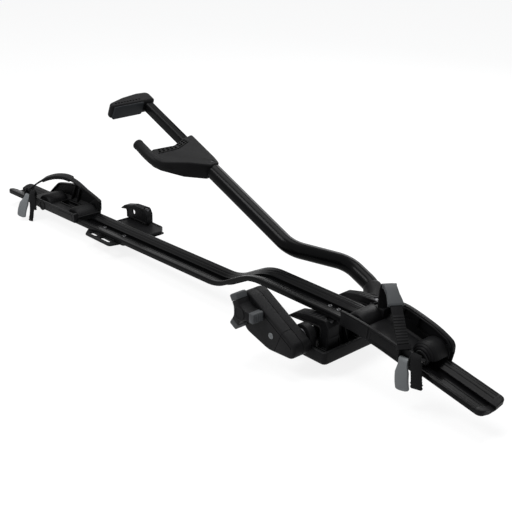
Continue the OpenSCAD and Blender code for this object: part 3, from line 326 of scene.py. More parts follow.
def form(points, radii, steps=6):
    """An outline as a function of the distance by which it is drawn in."""
    n = len(points)
    area = sum(points[i - 1][0] * points[i][1] - points[i][0] * points[i - 1][1] for i in range(n))
    corners = []
    for i, p in enumerate(points):
        a = Vector(p) - Vector(points[i - 1])
        b = Vector(points[(i + 1) % n]) - Vector(p)
        r = radii[i] if isinstance(radii, (list, tuple)) else radii
        corners.append((r, math.copysign(1.0, area * (a.x * b.y - a.y * b.x))))
    return lambda d: rounded(inset(points, d), [max(r - d * way, 0.12) for r, way in corners], steps)


def soft(r, steps):
    """Distances in and down that round a border."""
    arc = [math.pi / 2 * k / steps for k in range(steps + 1)]
    return [(r * (1 - math.cos(a)), r * (math.sin(a) - 1)) for a in arc]


def recess(rim, depth):
    """Distances in and down that sink a face inside a rim."""
    return [(rim, 0.0), (rim + 0.25, -0.1), (rim + 0.4, -0.3), (rim + 0.7, 0.3 - depth), (rim + 1.0, -depth)]


def sweep(name, rings):
    """A disc drawn to the first ring of points and extruded from ring to ring."""
    deselect()
    bpy.ops.mesh.primitive_circle_add(vertices=len(rings[0]), radius=0.01, fill_type="NGON")
    obj = named(name)
    for vert, co in zip(obj.data.vertices, rings[0]):
        vert.co = co
    order = list(obj.data.polygons[0].vertices)
    edit(obj)
    for last, ring in zip(rings, rings[1:]):
        bpy.ops.mesh.extrude_region_move(TRANSFORM_OT_translate={"value": ring[0] - last[0]})
        mesh = bmesh.from_edit_mesh(obj.data)
        face = next(f for f in mesh.faces if f.select)
        for vert, i in zip(face.verts, order):
            vert.co = ring[i]
        bmesh.update_edit_mesh(obj.data)
    bpy.ops.mesh.select_all(action="SELECT")
    bpy.ops.mesh.normals_make_consistent(inside=False)
    leave_edit()
    return obj


def plate(name, outline, place, low, high, edge=0.0, segments=3, top=(), bottom=()):
    """A plate of one outline, its borders rounded and its faces sunk or grooved by distances in and down."""
    if low > high:
        low, high = high, low
    drawn = outline if callable(outline) else lambda d: inset(outline, d) if d else outline
    low_edge, high_edge = edge if isinstance(edge, tuple) else (edge, edge)
    levels = []
    for limit, way, r, more in ((low, -1, low_edge, bottom), (high, 1, high_edge, top)):
        border = soft(r, segments) if r else [(0.0, 0.0)]
        side_levels = [(d, limit + way * h) for d, h in border + [(r + d, h) for d, h in more]]
        levels += side_levels if way > 0 else side_levels[::-1]
    return sweep(name, [[place(a, b, h) for a, b in drawn(d)] for d, h in levels])


def turned(name, profile, origin, axis, sides=40, hexagon=()):
    """A turned piece: rings of radius and height along an axis. Listed rings are hexagons."""
    axis = axis.normalized()
    e1 = axis.orthogonal().normalized()
    e2 = axis.cross(e1)
    rings = []
    for i, (r, h) in enumerate(profile):
        ring = []
        for k in range(sides):
            a = 2 * math.pi * k / sides
            reach = r
            if i in hexagon:
                reach = r * math.cos(math.pi / 6) / math.cos((a % (math.pi / 3)) - math.pi / 6)
            ring.append(origin + axis * (h * MM) + (e1 * math.cos(a) + e2 * math.sin(a)) * (reach * MM))
        rings.append(ring)
    return sweep(name, rings)


def block(name, x, y, z, place, edge, segments=2):
    """A small rounded block between limits along each axis."""
    corners = [(x[0], y[0]), (x[1], y[0]), (x[1], y[1]), (x[0], y[1])]
    outline = rounded(corners, edge, 3) if edge else corners
    return plate(name, outline, place, z[0], z[1], edge, segments)


def joined(name, pieces):
    deselect()
    for piece in pieces:
        piece.select_set(True)
    bpy.context.view_layer.objects.active = pieces[0]
    if len(pieces) > 1:
        bpy.ops.object.join()
    return named(name)


def repeated(piece, shifts):
    """A piece and copies of it, each copy moved by its own shift."""
    pieces = [piece]
    for shift in shifts:
        only(piece)
        bpy.ops.object.duplicate()
        bpy.ops.transform.translate(value=shift)
        bpy.ops.object.transform_apply(location=True, rotation=False, scale=False)
        pieces.append(bpy.context.object)
    return pieces


def oval_ring(name, centre, long, short, long_axis, short_axis, thick):
    """An oval ring: a torus drawn out to two half lengths with an even thickness."""
    deselect()
    bpy.ops.mesh.primitive_torus_add(major_segments=36, minor_segments=12, major_radius=1.0, minor_radius=0.1)
    obj = named(name)
    normal = long_axis.cross(short_axis).normalized()
    for vert in obj.data.vertices:
        flat = Vector((vert.co.x, vert.co.y))
        out = flat.normalized()
        reach = (flat.length - 1.0) * thick * 10
        outward = (long_axis * out.x * short + short_axis * out.y * long).normalized()
        place = long_axis * (out.x * long) + short_axis * (out.y * short) + outward * reach
        vert.co = centre + (place + normal * (vert.co.z * thick * 10)) * MM
    edit(obj)
    bpy.ops.mesh.normals_make_consistent(inside=False)
    leave_edit()
    return obj


def cut(obj, cutter):
    """Takes one shape out of another and removes the cutter."""
    modifier = obj.modifiers.new("cut", "BOOLEAN")
    modifier.operation = "DIFFERENCE"
    modifier.solver = "EXACT"
    modifier.object = cutter
    apply_all(obj)
    only(cutter)
    bpy.ops.object.delete()
    return obj


def copied(node, name, edge=0.0):
    """A frame node's own shape, with its corners merged and its curves smoothed."""
    only(NODES[node])
    bpy.ops.object.duplicate()
    obj = named(name)
    edit(obj)
    bpy.ops.mesh.remove_doubles(threshold=2e-6)
    bpy.ops.mesh.select_all(action="SELECT")
    bpy.ops.mesh.dissolve_limited(angle_limit=math.radians(0.5))
    leave_edit()
    if edge:
        round_edges(obj, edge)
    return obj


def put(obj, body, finish, nodes=(), angle=38.0):
    """Finishes a piece: smooth shading, material, body and replaced nodes."""
    only(obj)
    bpy.ops.object.shade_smooth_by_angle(angle=math.radians(angle))
    obj.data.materials.clear()
    obj.data.materials.append(FINISHES[finish])
    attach(obj, body)
    if nodes:
        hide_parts(*nodes)
    return obj


# Finishes.
def new_node(nodes, kind, values=None, **settings):
    """A shader node with its settings and with values for its inputs."""
    made = nodes.new("ShaderNode" + kind)
    for name, value in settings.items():
        setattr(made, name, value)
    for key, value in (values or {}).items():
        made.inputs[key].default_value = value
    return made


def new_group(name, inputs, outputs):
    """A shader group with its sockets, and the nodes of its input and output."""
    group = bpy.data.node_groups.new(name, "ShaderNodeTree")
    for socket, value in inputs.items():
        group.interface.new_socket(name=socket, in_out="INPUT",
                                   socket_type="NodeSocketFloat").default_value = value
    for socket in outputs:
        group.interface.new_socket(name=socket, in_out="OUTPUT", socket_type="NodeSocketFloat")
    return group, group.nodes.new("NodeGroupInput"), group.nodes.new("NodeGroupOutput")


def grain_group():
    """Moulded grain: a fine pebble height and a slow mottle."""
    group, inp, out = new_group("moulded_grain", {"Scale": 900.0, "Mottle Scale": 18.0}, ("Height", "Mottle"))
    nodes, links = group.nodes, group.links
    coord = new_node(nodes, "TexCoord")
    cells = new_node(nodes, "TexVoronoi", feature="SMOOTH_F1")
    fine = new_node(nodes, "TexNoise", {"Detail": 3.0})
    slow = new_node(nodes, "TexNoise", {"Detail": 4.0})
    mix = new_node(nodes, "Math", {1: 0.6}, operation="MULTIPLY_ADD")
    for tex in (cells, fine, slow):
        links.new(coord.outputs["Object"], tex.inputs["Vector"])
    links.new(inp.outputs["Scale"], cells.inputs["Scale"])
    links.new(inp.outputs["Scale"], fine.inputs["Scale"])
    links.new(inp.outputs["Mottle Scale"], slow.inputs["Scale"])
    links.new(cells.outputs["Distance"], mix.inputs[0])
    links.new(fine.outputs["Fac"], mix.inputs[2])
    links.new(mix.outputs[0], out.inputs["Height"])
    links.new(slow.outputs["Fac"], out.inputs["Mottle"])
    return group


def rub_group():
    """Rubbed edges: a mask on convex edges, broken up by noise."""
    group, inp, out = new_group("rubbed_edges", {"Break Up": 60.0}, ("Mask",))
    nodes, links = group.nodes, group.links
    geometry = new_node(nodes, "NewGeometry")
    ramp = new_node(nodes, "MapRange", {"From Min": 0.52, "From Max": 0.62})
    coord = new_node(nodes, "TexCoord")
    noise = new_node(nodes, "TexNoise", {"Detail": 5.0})
    mul = new_node(nodes, "Math", operation="MULTIPLY")
    links.new(geometry.outputs["Pointiness"], ramp.inputs["Value"])
    links.new(coord.outputs["Object"], noise.inputs["Vector"])
    links.new(inp.outputs["Break Up"], noise.inputs["Scale"])
    links.new(ramp.outputs["Result"], mul.inputs[0])
    links.new(noise.outputs["Fac"], mul.inputs[1])
    links.new(mul.outputs[0], out.inputs["Mask"])
    return group


def make_finish(name, groups, colour, worn, rough, metallic=0.0, grain=900.0, depth=0.1, mottle=18.0,
                specular=0.5):
    """One finish: a colour that lightens on edges, roughness from the mottle, bump from the grain."""
    material = bpy.data.materials.new(name)
    material.use_nodes = True
    nodes, links = material.node_tree.nodes, material.node_tree.links
    shader = nodes["Principled BSDF"]
    shader.inputs["Metallic"].default_value = metallic
    shader.inputs["Specular IOR Level"].default_value = specular
    grains = new_node(nodes, "Group", {"Scale": grain, "Mottle Scale": mottle}, node_tree=groups[0])
    rub = new_node(nodes, "Group", node_tree=groups[1])
    dark, light = ((*[c * share for c in colour], 1) for share in (0.8, 1.2))
    tone = new_node(nodes, "Mix", {6: dark, 7: light}, data_type="RGBA")
    edge = new_node(nodes, "Mix", {7: (*worn, 1)}, data_type="RGBA")
    gloss = new_node(nodes, "MapRange", {"From Min": 0.3, "From Max": 0.7, "To Min": rough[0],
                                         "To Max": rough[1]})
    bump = new_node(nodes, "Bump", {"Strength": depth, "Distance": 0.0004})
    links.new(grains.outputs["Mottle"], tone.inputs[0])
    links.new(tone.outputs[2], edge.inputs[6])
    links.new(rub.outputs["Mask"], edge.inputs[0])
    links.new(edge.outputs[2], shader.inputs["Base Color"])
    links.new(grains.outputs["Mottle"], gloss.inputs["Value"])
    links.new(gloss.outputs["Result"], shader.inputs["Roughness"])
    links.new(grains.outputs["Height"], bump.inputs["Height"])
    links.new(bump.outputs["Normal"], shader.inputs["Normal"])
    FINISHES[name] = material


class CarrierColours(bpy.types.PropertyGroup):
    """Colours of the carrier's finishes."""
    paint: FloatVectorProperty(name="Coating", description="Satin coating of the tray and the arm",
                               subtype="COLOR", default=(0.002, 0.002, 0.0022), min=0, max=1)
    plastic: FloatVectorProperty(name="Plastic", description="Grained plastic of the mouldings",
                                 subtype="COLOR", default=(0.0035, 0.0035, 0.0038), min=0, max=1)
    rubber: FloatVectorProperty(name="Rubber", description="Straps, seat pads and horn", subtype="COLOR",
                                default=(0.0035, 0.0035, 0.0038), min=0, max=1)
    lever: FloatVectorProperty(name="Lever", description="Buckle levers and lock disc", subtype="COLOR",
                               default=(0.078, 0.083, 0.086), min=0, max=1)
    pad: FloatVectorProperty(name="Pad", description="Front rim pad and knob tips", subtype="COLOR",
                             default=(0.028, 0.0298, 0.0315), min=0, max=1)
    steel: FloatVectorProperty(name="Steel", description="Black plated fasteners and shafts", subtype="COLOR",
                               default=(0.04, 0.04, 0.043), min=0, max=1)


class CarrierSizes(bpy.types.PropertyGroup):
    """Sizes and counts of the visible details, with lengths in millimetres."""
    strap_pitch: FloatProperty(name="Strap pitch", description="Distance of the straps' teeth", default=5.2,
                               min=3, max=9)
    strap_tooth: FloatProperty(name="Strap tooth", description="Height of the straps' teeth", default=0.9,
                               min=0.2, max=2)
    grip_teeth: IntProperty(name="Grip teeth", description="Teeth in a row of the jaws' grips", default=9,
                            min=3, max=16)


class CARRIER_OT_finishes(bpy.types.Operator):
    """Builds the finishes and gives every frame node its own"""
    bl_idname = "carrier.finishes"
    bl_label = "Finishes"

    def execute(self, context):
        colours = context.scene.carrier_colours
        groups = (grain_group(), rub_group())
        make_finish("tray_paint", groups, colours.paint, (0.010, 0.010, 0.0105), (0.17, 0.26), grain=1500,
                    depth=0.05, mottle=9, specular=0.045)
        make_finish("black_plastic", groups, colours.plastic, (0.011, 0.011, 0.0115), (0.40, 0.54), grain=900,
                    depth=0.22, specular=0.06)
        make_finish("soft_rubber", groups, colours.rubber, (0.010, 0.010, 0.0105), (0.50, 0.64), grain=700,
                    depth=0.15, specular=0.06)
        make_finish("jaw_rubber", groups, (0.008, 0.0092, 0.0106), (0.016, 0.018, 0.02), (0.55, 0.7),
                    grain=700, depth=0.12, specular=0.12)
        make_finish("lever_grey", groups, colours.lever, (0.14, 0.148, 0.152), (0.40, 0.52), grain=1200,
                    depth=0.08, specular=0.25)
        make_finish("pad_grey", groups, colours.pad, (0.055, 0.058, 0.061), (0.50, 0.64), grain=1000,
                    depth=0.12, specular=0.15)
        make_finish("steel", groups, colours.steel, (0.12, 0.12, 0.125), (0.28, 0.42), metallic=1.0,
                    grain=1600, depth=0.05)
        slots = {part["node"]: part["material_slot"] for part in RECORD["subparts"]}
        for name, obj in NODES.items():
            obj.data.materials.clear()
            obj.data.materials.append(FINISHES[slots[name]])
        return {"FINISHED"}


class CARRIER_OT_tray(bpy.types.Operator):
    """Builds the tray's channel and its end caps"""
    bl_idname = "carrier.tray"
    bl_label = "Tray"

    def execute(self, context):
        rad = math.radians(NOSE_SLOPE)
        nose_end = LEVEL_END + NOSE_R * math.sin(rad) + (NOSE_LEN - CAP_LEN) * math.cos(rad)
        frames = tray_frames(REAR_X + CAP_LEN, nose_end)
        section = tray_section(True)
        channel = sweep("tray_channel", [tray_ring(p, section) for p in frames])
        put(channel, "base", "tray_paint", ("tray",), angle=24)
        cap = self.cap_outline()
        front = self.cap("nose_cap", cap, lambda d, y, h: along_tray(frames[-1], d, y, h))
        put(front, "base", "black_plastic", ("front_end_cap",), angle=30)
        rear = self.cap("tail_cap", cap, lambda d, y, h: in_rear(CAP_LEN - d, y, h))
        put(rear, "base", "black_plastic", ("rear_end_cap",), angle=30)
        return {"FINISHED"}

    def cap_outline(self):
        half = [p for p in tray_section(False) if p[0] > 0][:26]
        half += [(RAIL_IN, -SLOT_DROP - WALL)]
        return half + [(-y, z) for y, z in half[::-1]]

    def cap(self, name, outline, place):
        """A cap that carries on the rails and the slot, with rounded corners and a soft end."""
        corner = 11.0
        rings = []
        for d, tall in ((0, 0.97), (0.5, 1), (4, 1), (6, 1), (8, 1), (9.5, 0.99), (11, 0.97), (12.2, 0.93),
                        (13.2, 0.86), (13.7, 0.78)):
            past = max(0.0, d - (CAP_LEN - corner))
            reach = HALF_W - corner + math.sqrt(corner ** 2 - past ** 2) - (0.4 if d == 0 else 0)
            row = []
            for y, h in outline:
                out = max(0.0, abs(y) - SLOT_HALF) * (reach - SLOT_HALF) / (HALF_W - SLOT_HALF)
                row.append(place(d, math.copysign(min(abs(y), SLOT_HALF) + out, y), h * tall if h > 0 else h))
            rings.append(row)
        return sweep(name, rings)


def screw_head(name, place_at, axis, r=4.2, height=2.4, socket=2.4):
    """A rounded screw head with a hexagon socket."""
    profile = [(r, -0.3), (r, height * 0.55), (r * 0.93, height * 0.85), (r * 0.8, height), (socket, height),
               (socket, height * 0.25)]
    return turned(name, profile, place_at, axis, 36, hexagon=(4, 5))


class CARRIER_OT_front_foot(bpy.types.Operator):
    """Builds the front foot's base, hinge bosses and tower"""
    bl_idname = "carrier.front_foot"
    bl_label = "Front foot"

    def execute(self, context):
        outline = form([(-FOOT_HALF, FOOT_NEAR), (FOOT_HALF, FOOT_NEAR), (FOOT_HALF, FOOT_FAR),
                        (-FOOT_HALF, FOOT_FAR)], 9, 8)
        body = plate("foot_body", outline, base, PLATE_LOW, FOOT_TOP, 2.2, 4,
                     top=recess(3.6, FOOT_TOP - FOOT_FLOOR))
        pieces = [body]
        for r, y0, y1 in ((21, FOOT_NEAR, -61), (17, 62, 77)):
            arch = [(HINGE_X + r * math.cos(a), HINGE_Z + r * math.sin(a))
                    for a in (math.pi * k / 20 for k in range(21))]
            arch = [(HINGE_X + r, 11.5)] + arch + [(HINGE_X - r + (2 if r > 19 else 0), 11.5)]
            pieces.append(plate("boss", arch, side, y0 + 0.05, y1 - 0.05, 1.8, 3))
        pieces.append(turned("boss_ring", [(20.6, 0), (20.6, 0.4), (17.4, 0.9), (13.5, 0.9), (13, 0.2)],
                             base(HINGE_X, -61.1, HINGE_Z), Y_AXIS))
        for y in (-57, -20, 24, 60):
            pieces.append(block("rib", (-30.6, 30.6), (y, y + 2.4), (11.6, 17), base, 0.5))
        pieces.append(block("rib", (29.6, 31.6), (-68, 100), (11.6, 16), base, 0.5))
        put(joined("foot_moulding", pieces), "base", "black_plastic", ("foot_base",), angle=30)
        core = [(-29.6, FOOT_FLOOR), (3.6, FOOT_FLOOR), (3.6, 67.2), (-29.6, 67.2)]
        tower = [plate("tower_core", core, side, -15.8, 55.8, 2.5, 3)]
        web = rounded([(3, FOOT_FLOOR), (20, FOOT_FLOOR), (10, 40), (3, 62)], [0.5, 1, 20, 1])
        for y in (-15.9, 4, 28, 52):
            tower.append(plate("web", web, side, y, y + 3.2, 0.6))
        put(joined("tower_moulding", tower), "base", "black_plastic", ("foot_tower",))
        seat = rounded_box(2 - FOOT_HALF, FOOT_HALF - 2, FOOT_NEAR + 2, FOOT_FAR - 2, 8)
        pad = plate("front_seat_rubber", seat, base, 0, SEAT_T, 0.7, 2)
        put(pad, "base", "soft_rubber", ("front_seat_pad",))
        for k, x in enumerate((-24, -3)):
            head = screw_head("tray_screw_%d" % k, base(x, 0, 69.6), Z_AXIS, 4.5, 3.2, 2.6)
            put(head, "base", "steel", ("tray_bolts",))
        return {"FINISHED"}


class CARRIER_OT_bar_claws(bpy.types.Operator):
    """Builds the three bar claws and their nuts"""
    bl_idname = "carrier.bar_claws"
    bl_label = "Bar claws"

    def execute(self, context):
        for name, tip, y, height, throat, half in (("near_claw", -84, -36, 58, 82, 14),
                                                   ("far_claw", -84, 90.5, 58, 82, 9.5),
                                                   ("rear_claw", -789, 90, 38, 26, 9.5)):
            self.claw(name, tip, y, height, throat, half)
        return {"FINISHED"}

    def claw(self, body, tip, y, height, throat, half):
        def place(a, b, c):
            return base(tip + a, y + c, CLAW_LOW + b)

        def across(a, c, b):
            return place(a, b, c)

        drop = height - 24
        windowed = throat < 50
        sunk = recess(2.2 if windowed else 1.6, 1.4)
        outline = form([(0, drop), (throat, drop + 5), (throat, 0), (CLAW_LEN, 0), (CLAW_LEN, height - 12),
                        (CLAW_LEN - 8, height), (50, height - 3), (18, height - 11)],
                       [1.4, 4, 2, 3, 6, 6, 30, 10])
        shape = plate("core", outline, place, -half, half, 1.4, 3, top=sunk, bottom=sunk)
        if windowed:
            pocket = rounded_box(28.5, 80, 4, height - 14, 5)
            cut(shape, plate("far_pocket", pocket, place, 3.5 - half, half + 1))
            cut(shape, turned("window", [(5.5, -20), (5.5, 20)], place(53, 19, 0), Y_AXIS))
        cut(shape, turned("nut_pocket", [(CLAW_NUT_ROOM, 0), (CLAW_NUT_ROOM, 20)],
                          place(CLAW_NUT, height - 8, 0), Z_AXIS))
        pieces = [shape]
        wide = half - 1.3
        ridge = block("ridge", (52, 55), (-wide, wide), (height - 5.2, height - 2.1), across, 0.5)
        pieces += repeated(ridge, [base(8.5 * k, 0, 0.55 * k) for k in (1, 2, 3)])
        lower = block("step", (97, CLAW_LEN + 1), (-wide, wide), (1, height * 0.45), across, 1.0)
        upper = block("shoulder", (88, CLAW_LEN + 0.4), (-half - 0.7, half + 0.7),
                      (height * 0.72, height * 0.86), across, 1.0)
        cut(upper, turned("nut_pocket", [(CLAW_NUT_ROOM, 0), (CLAW_NUT_ROOM, 40)],
                          place(CLAW_NUT, height - 30, 0), Z_AXIS))
        put(joined(body + "_moulding", pieces + [lower, upper]), body, "black_plastic", (body,), angle=34)
        nut = turned(body + "_nut", [(6.9, -8), (6.9, -2.6), (6.2, -2), (3.4, -2), (3.4, -4.5)],
                     place(CLAW_NUT, height, 0), Z_AXIS, 36, hexagon=(3, 4))
        shank = copied(body + "_bolt", "shank")
        put(joined(body + "_fastener", [nut, shank]), body, "steel", (body + "_bolt",))


def tube_path():
    """The arm tube's axis: distance from the hinge, offset and heading of each point."""
    pts = []
    for k in range(13):
        t = math.radians(TUBE_START + (90 - TUBE_START) * k / 12)
        pts.append((BEND_R - BEND_R * math.cos(t), TUBE_REACH - BEND_R + BEND_R * math.sin(t)))
    for k in range(15):
        t = math.radians(S_TURN * k / 14)
        pts.append((S_START + BEND_R * math.sin(t), TUBE_REACH - BEND_R * (1 - math.cos(t))))
    turn = math.radians(S_TURN)
    run = (TUBE_REACH - ARM_Y - 2 * BEND_R * (1 - math.cos(turn))) / math.sin(turn)
    end = pts[-1][0] + run * math.cos(turn) + BEND_R * math.sin(turn)
    for k in range(15):
        t = turn * (1 - k / 14)
        pts.append((end - BEND_R * math.sin(t), ARM_Y + BEND_R * (1 - math.cos(t))))
    for k in range(1, 7):
        pts.append((end + (TUBE_END - end) * k / 6, ARM_Y))
    return pts


def rod_rings(pts, r, sides=32):
    """Rings round a path in the arm's own plane."""
    rings = []
    for i, p in enumerate(pts):
        d = heading(pts, i)
        n = Vector((-d.y, d.x))
        radius = r[i] if isinstance(r, list) else r
        ring = []
        for k in range(sides):
            t = 2 * math.pi * k / sides
            ring.append(in_arm(p[0] + n.x * radius * math.cos(t), p[1] + n.y * radius * math.cos(t),
                               radius * math.sin(t)))
        rings.append(ring)
    return rings


class CARRIER_OT_arm(bpy.types.Operator):
    """Builds the arm's tube, knuckle, shaft and washers"""
    bl_idname = "carrier.arm"
    bl_label = "Arm"

    def execute(self, context):
        tube = sweep("arm_bow", rod_rings(tube_path(), TUBE_R))
        put(tube, "arm", "tray_paint", ("arm_tube",))
        profile = [(15, 108), (18, 108), (KNUCKLE_R, 109), (KNUCKLE_R, 126), (17.5, 129), (14.5, 130),
                   (13.5, 130), (13, 129.2), (6, 129.2), (5.5, 128.4)]
        disc = turned("disc", profile, in_arm(0, 0, 0), Y_AXIS, 48)
        arc = []
        radii = [19.1] * 12 + [19.0, 18.6, 17.2]
        for k in range(15):
            t = math.radians(SLEEVE_START + SLEEVE_TURN * k / 14)
            arc.append((BEND_R - BEND_R * math.cos(t), TUBE_REACH - BEND_R + BEND_R * math.sin(t)))
        sleeve = sweep("sleeve", rod_rings(arc, radii))
        put(joined("knuckle_moulding", [disc, sleeve]), "arm", "black_plastic", ("arm_knuckle",))
        put(copied("pivot_shaft", "hinge_shaft", 0.4), "arm", "steel", ("pivot_shaft",))
        put(copied("pivot_washers", "hinge_washers", 0.4), "arm", "steel", ("pivot_washers",))
        up = in_arm(0, 0, 1) - in_arm(0, 0, 0)
        screw = turned("knuckle_set_screw", [(2.5, 8.2), (2.5, 18), (2.2, 18.3), (1.3, 18.3), (1.3, 16)],
                       in_arm(0, 113, 0), up, 24, hexagon=(3, 4))
        put(screw, "arm", "steel", ("knuckle_screw",))
        return {"FINISHED"}


HOUSING = [(-36, -13), (25, -43), (88, -50), (127, -9), (131, 28), (-25, 12)]
HOUSING_R = [16, 50, 24, 8, 26, 14]
KNOB_U, KNOB_W = 93.0, -3.0
LOCK_U, LOCK_W = 30.0, -11.5


class CARRIER_OT_knob_housing(bpy.types.Operator):
    """Builds the knob housing's two shells, their screws and the lock"""
    bl_idname = "carrier.knob_housing"
    bl_label = "Knob housing"

    def execute(self, context):
        outline = form(HOUSING, HOUSING_R, 8)
        near = plate("near_half", outline, arm_side, HOUSING_NEAR, HOUSING_SPLIT - 0.5, (5.0, 0.6), 5)
        slab = block("slab", (10.4, 11.3), (-60, 60), (HOUSING_NEAR - 1, HOUSING_FAR), arm_side, 0)
        cut(slab, plate("keep", outline(1.0), arm_side, HOUSING_NEAR + 1, HOUSING_FAR + 1))
        cut(near, slab)
        line = outline(9.0)[4 * 9:6 * 9 + 5]
        cut(near, plate("line", band(line, -0.8, 0.8), arm_side, HOUSING_NEAR - 2, HOUSING_NEAR + 1.2))
        seam = plate("seam", outline(1.4), arm_side, HOUSING_SPLIT - 1, HOUSING_SPLIT + 1)
        put(joined("housing_near_half", [near, seam]), "arm", "black_plastic", ("housing_shell",), angle=30)
        far = plate("far_half", outline, arm_side, HOUSING_SPLIT + 0.5, HOUSING_FAR, (0.6, 3.6), 4)
        put(far, "arm", "black_plastic", ("housing_cover",), angle=30)
        for k, (u, w) in enumerate(((-16, -12), (78, -34), (98, 14))):
            head = screw_head("housing_screw_%d" % k, in_arm(u, HOUSING_FAR - 0.6, w), Y_AXIS, 3.4, 1.9, 1.7)
            put(head, "arm", "steel", ("housing_screws",))
        disc = turned("lock_disc", [(5.9, 0), (5.9, 12), (5.5, 12.5), (4.9, 12.7), (2.0, 12.8)],
                      in_arm(LOCK_U, -110.2, LOCK_W), -Y_AXIS)
        slot = block("key_slot", (LOCK_U - 0.35, LOCK_U + 0.35), (LOCK_W - 1.9, LOCK_W + 1.9),
                     (HOUSING_NEAR - 2, HOUSING_NEAR + 0.4), arm_side, 0)
        cut(disc, slot)
        put(disc, "lock", "lever_grey", ("lock_cylinder",))
        return {"FINISHED"}


class CARRIER_OT_knob(bpy.types.Operator):
    """Builds the three lobed knob and its grey tips"""
    bl_idname = "carrier.knob"
    bl_label = "Knob"

    def execute(self, context):
        def place(a, b, c):
            return in_arm(KNOB_U - a, c, KNOB_W + b)

        def turn(p, angle):
            c, s = math.cos(angle), math.sin(angle)
            return (p[0] * c - p[1] * s, p[0] * s + p[1] * c)

        lobes = [math.radians(KNOB_PHASE + 120 * k) for k in range(3)]
        lobe = ((10, -11.5), (15, -9.2), (24.2, -8.4), (24.2, 8.4), (15, 9.2), (10, 11.5))
        outline = form([turn(p, a) for a in lobes for p in lobe], [8, 6, 0.6, 0.6, 6, 8] * 3, 5)
        hub = plate("hub", outline, place, KNOB_BACK, KNOB_FACE, 1.4, 3)
        profile = [(13.2, 148), (13.2, 149.2), (12.2, 149.9), (10.6, 149.9), (10.2, 149.2), (3, 149.0)]
        cap = turned("cap", profile, in_arm(KNOB_U, 0, KNOB_W), -Y_AXIS, 40)
        put(joined("knob_core", [hub, cap]), "knob", "black_plastic", ("knob_body",), angle=32)
        tips = []
        end = ((24.5, -9.2), (35.5, -9.6), (37, -7), (37, 7), (35.5, 9.6), (24.5, 9.2))
        for a in lobes:
            outline = form([turn(p, a) for p in end], [0.8, 3, 3, 3, 3, 0.8], 5)
            tips.append(plate("tip", outline, place, KNOB_BACK - 0.9, KNOB_FACE - 0.2, 1.8, 4))
            rib = [turn(p, a) for p in ((36.0, -6.5), (37.4, -6.5), (37.4, 6.5), (36.0, 6.5))]
            for k in range(4):
                y0 = -127.5 - 5.2 * k
                tips.append(plate("rib", rib, place, y0, y0 - 2.2, 0.4, 2))
        put(joined("knob_grey_tips", tips), "knob", "pad_grey", ("knob_tips",), angle=34)
        put(copied("clutch_washers", "clutch_rings", 0.3), "knob", "steel", ("clutch_washers",))
        return {"FINISHED"}


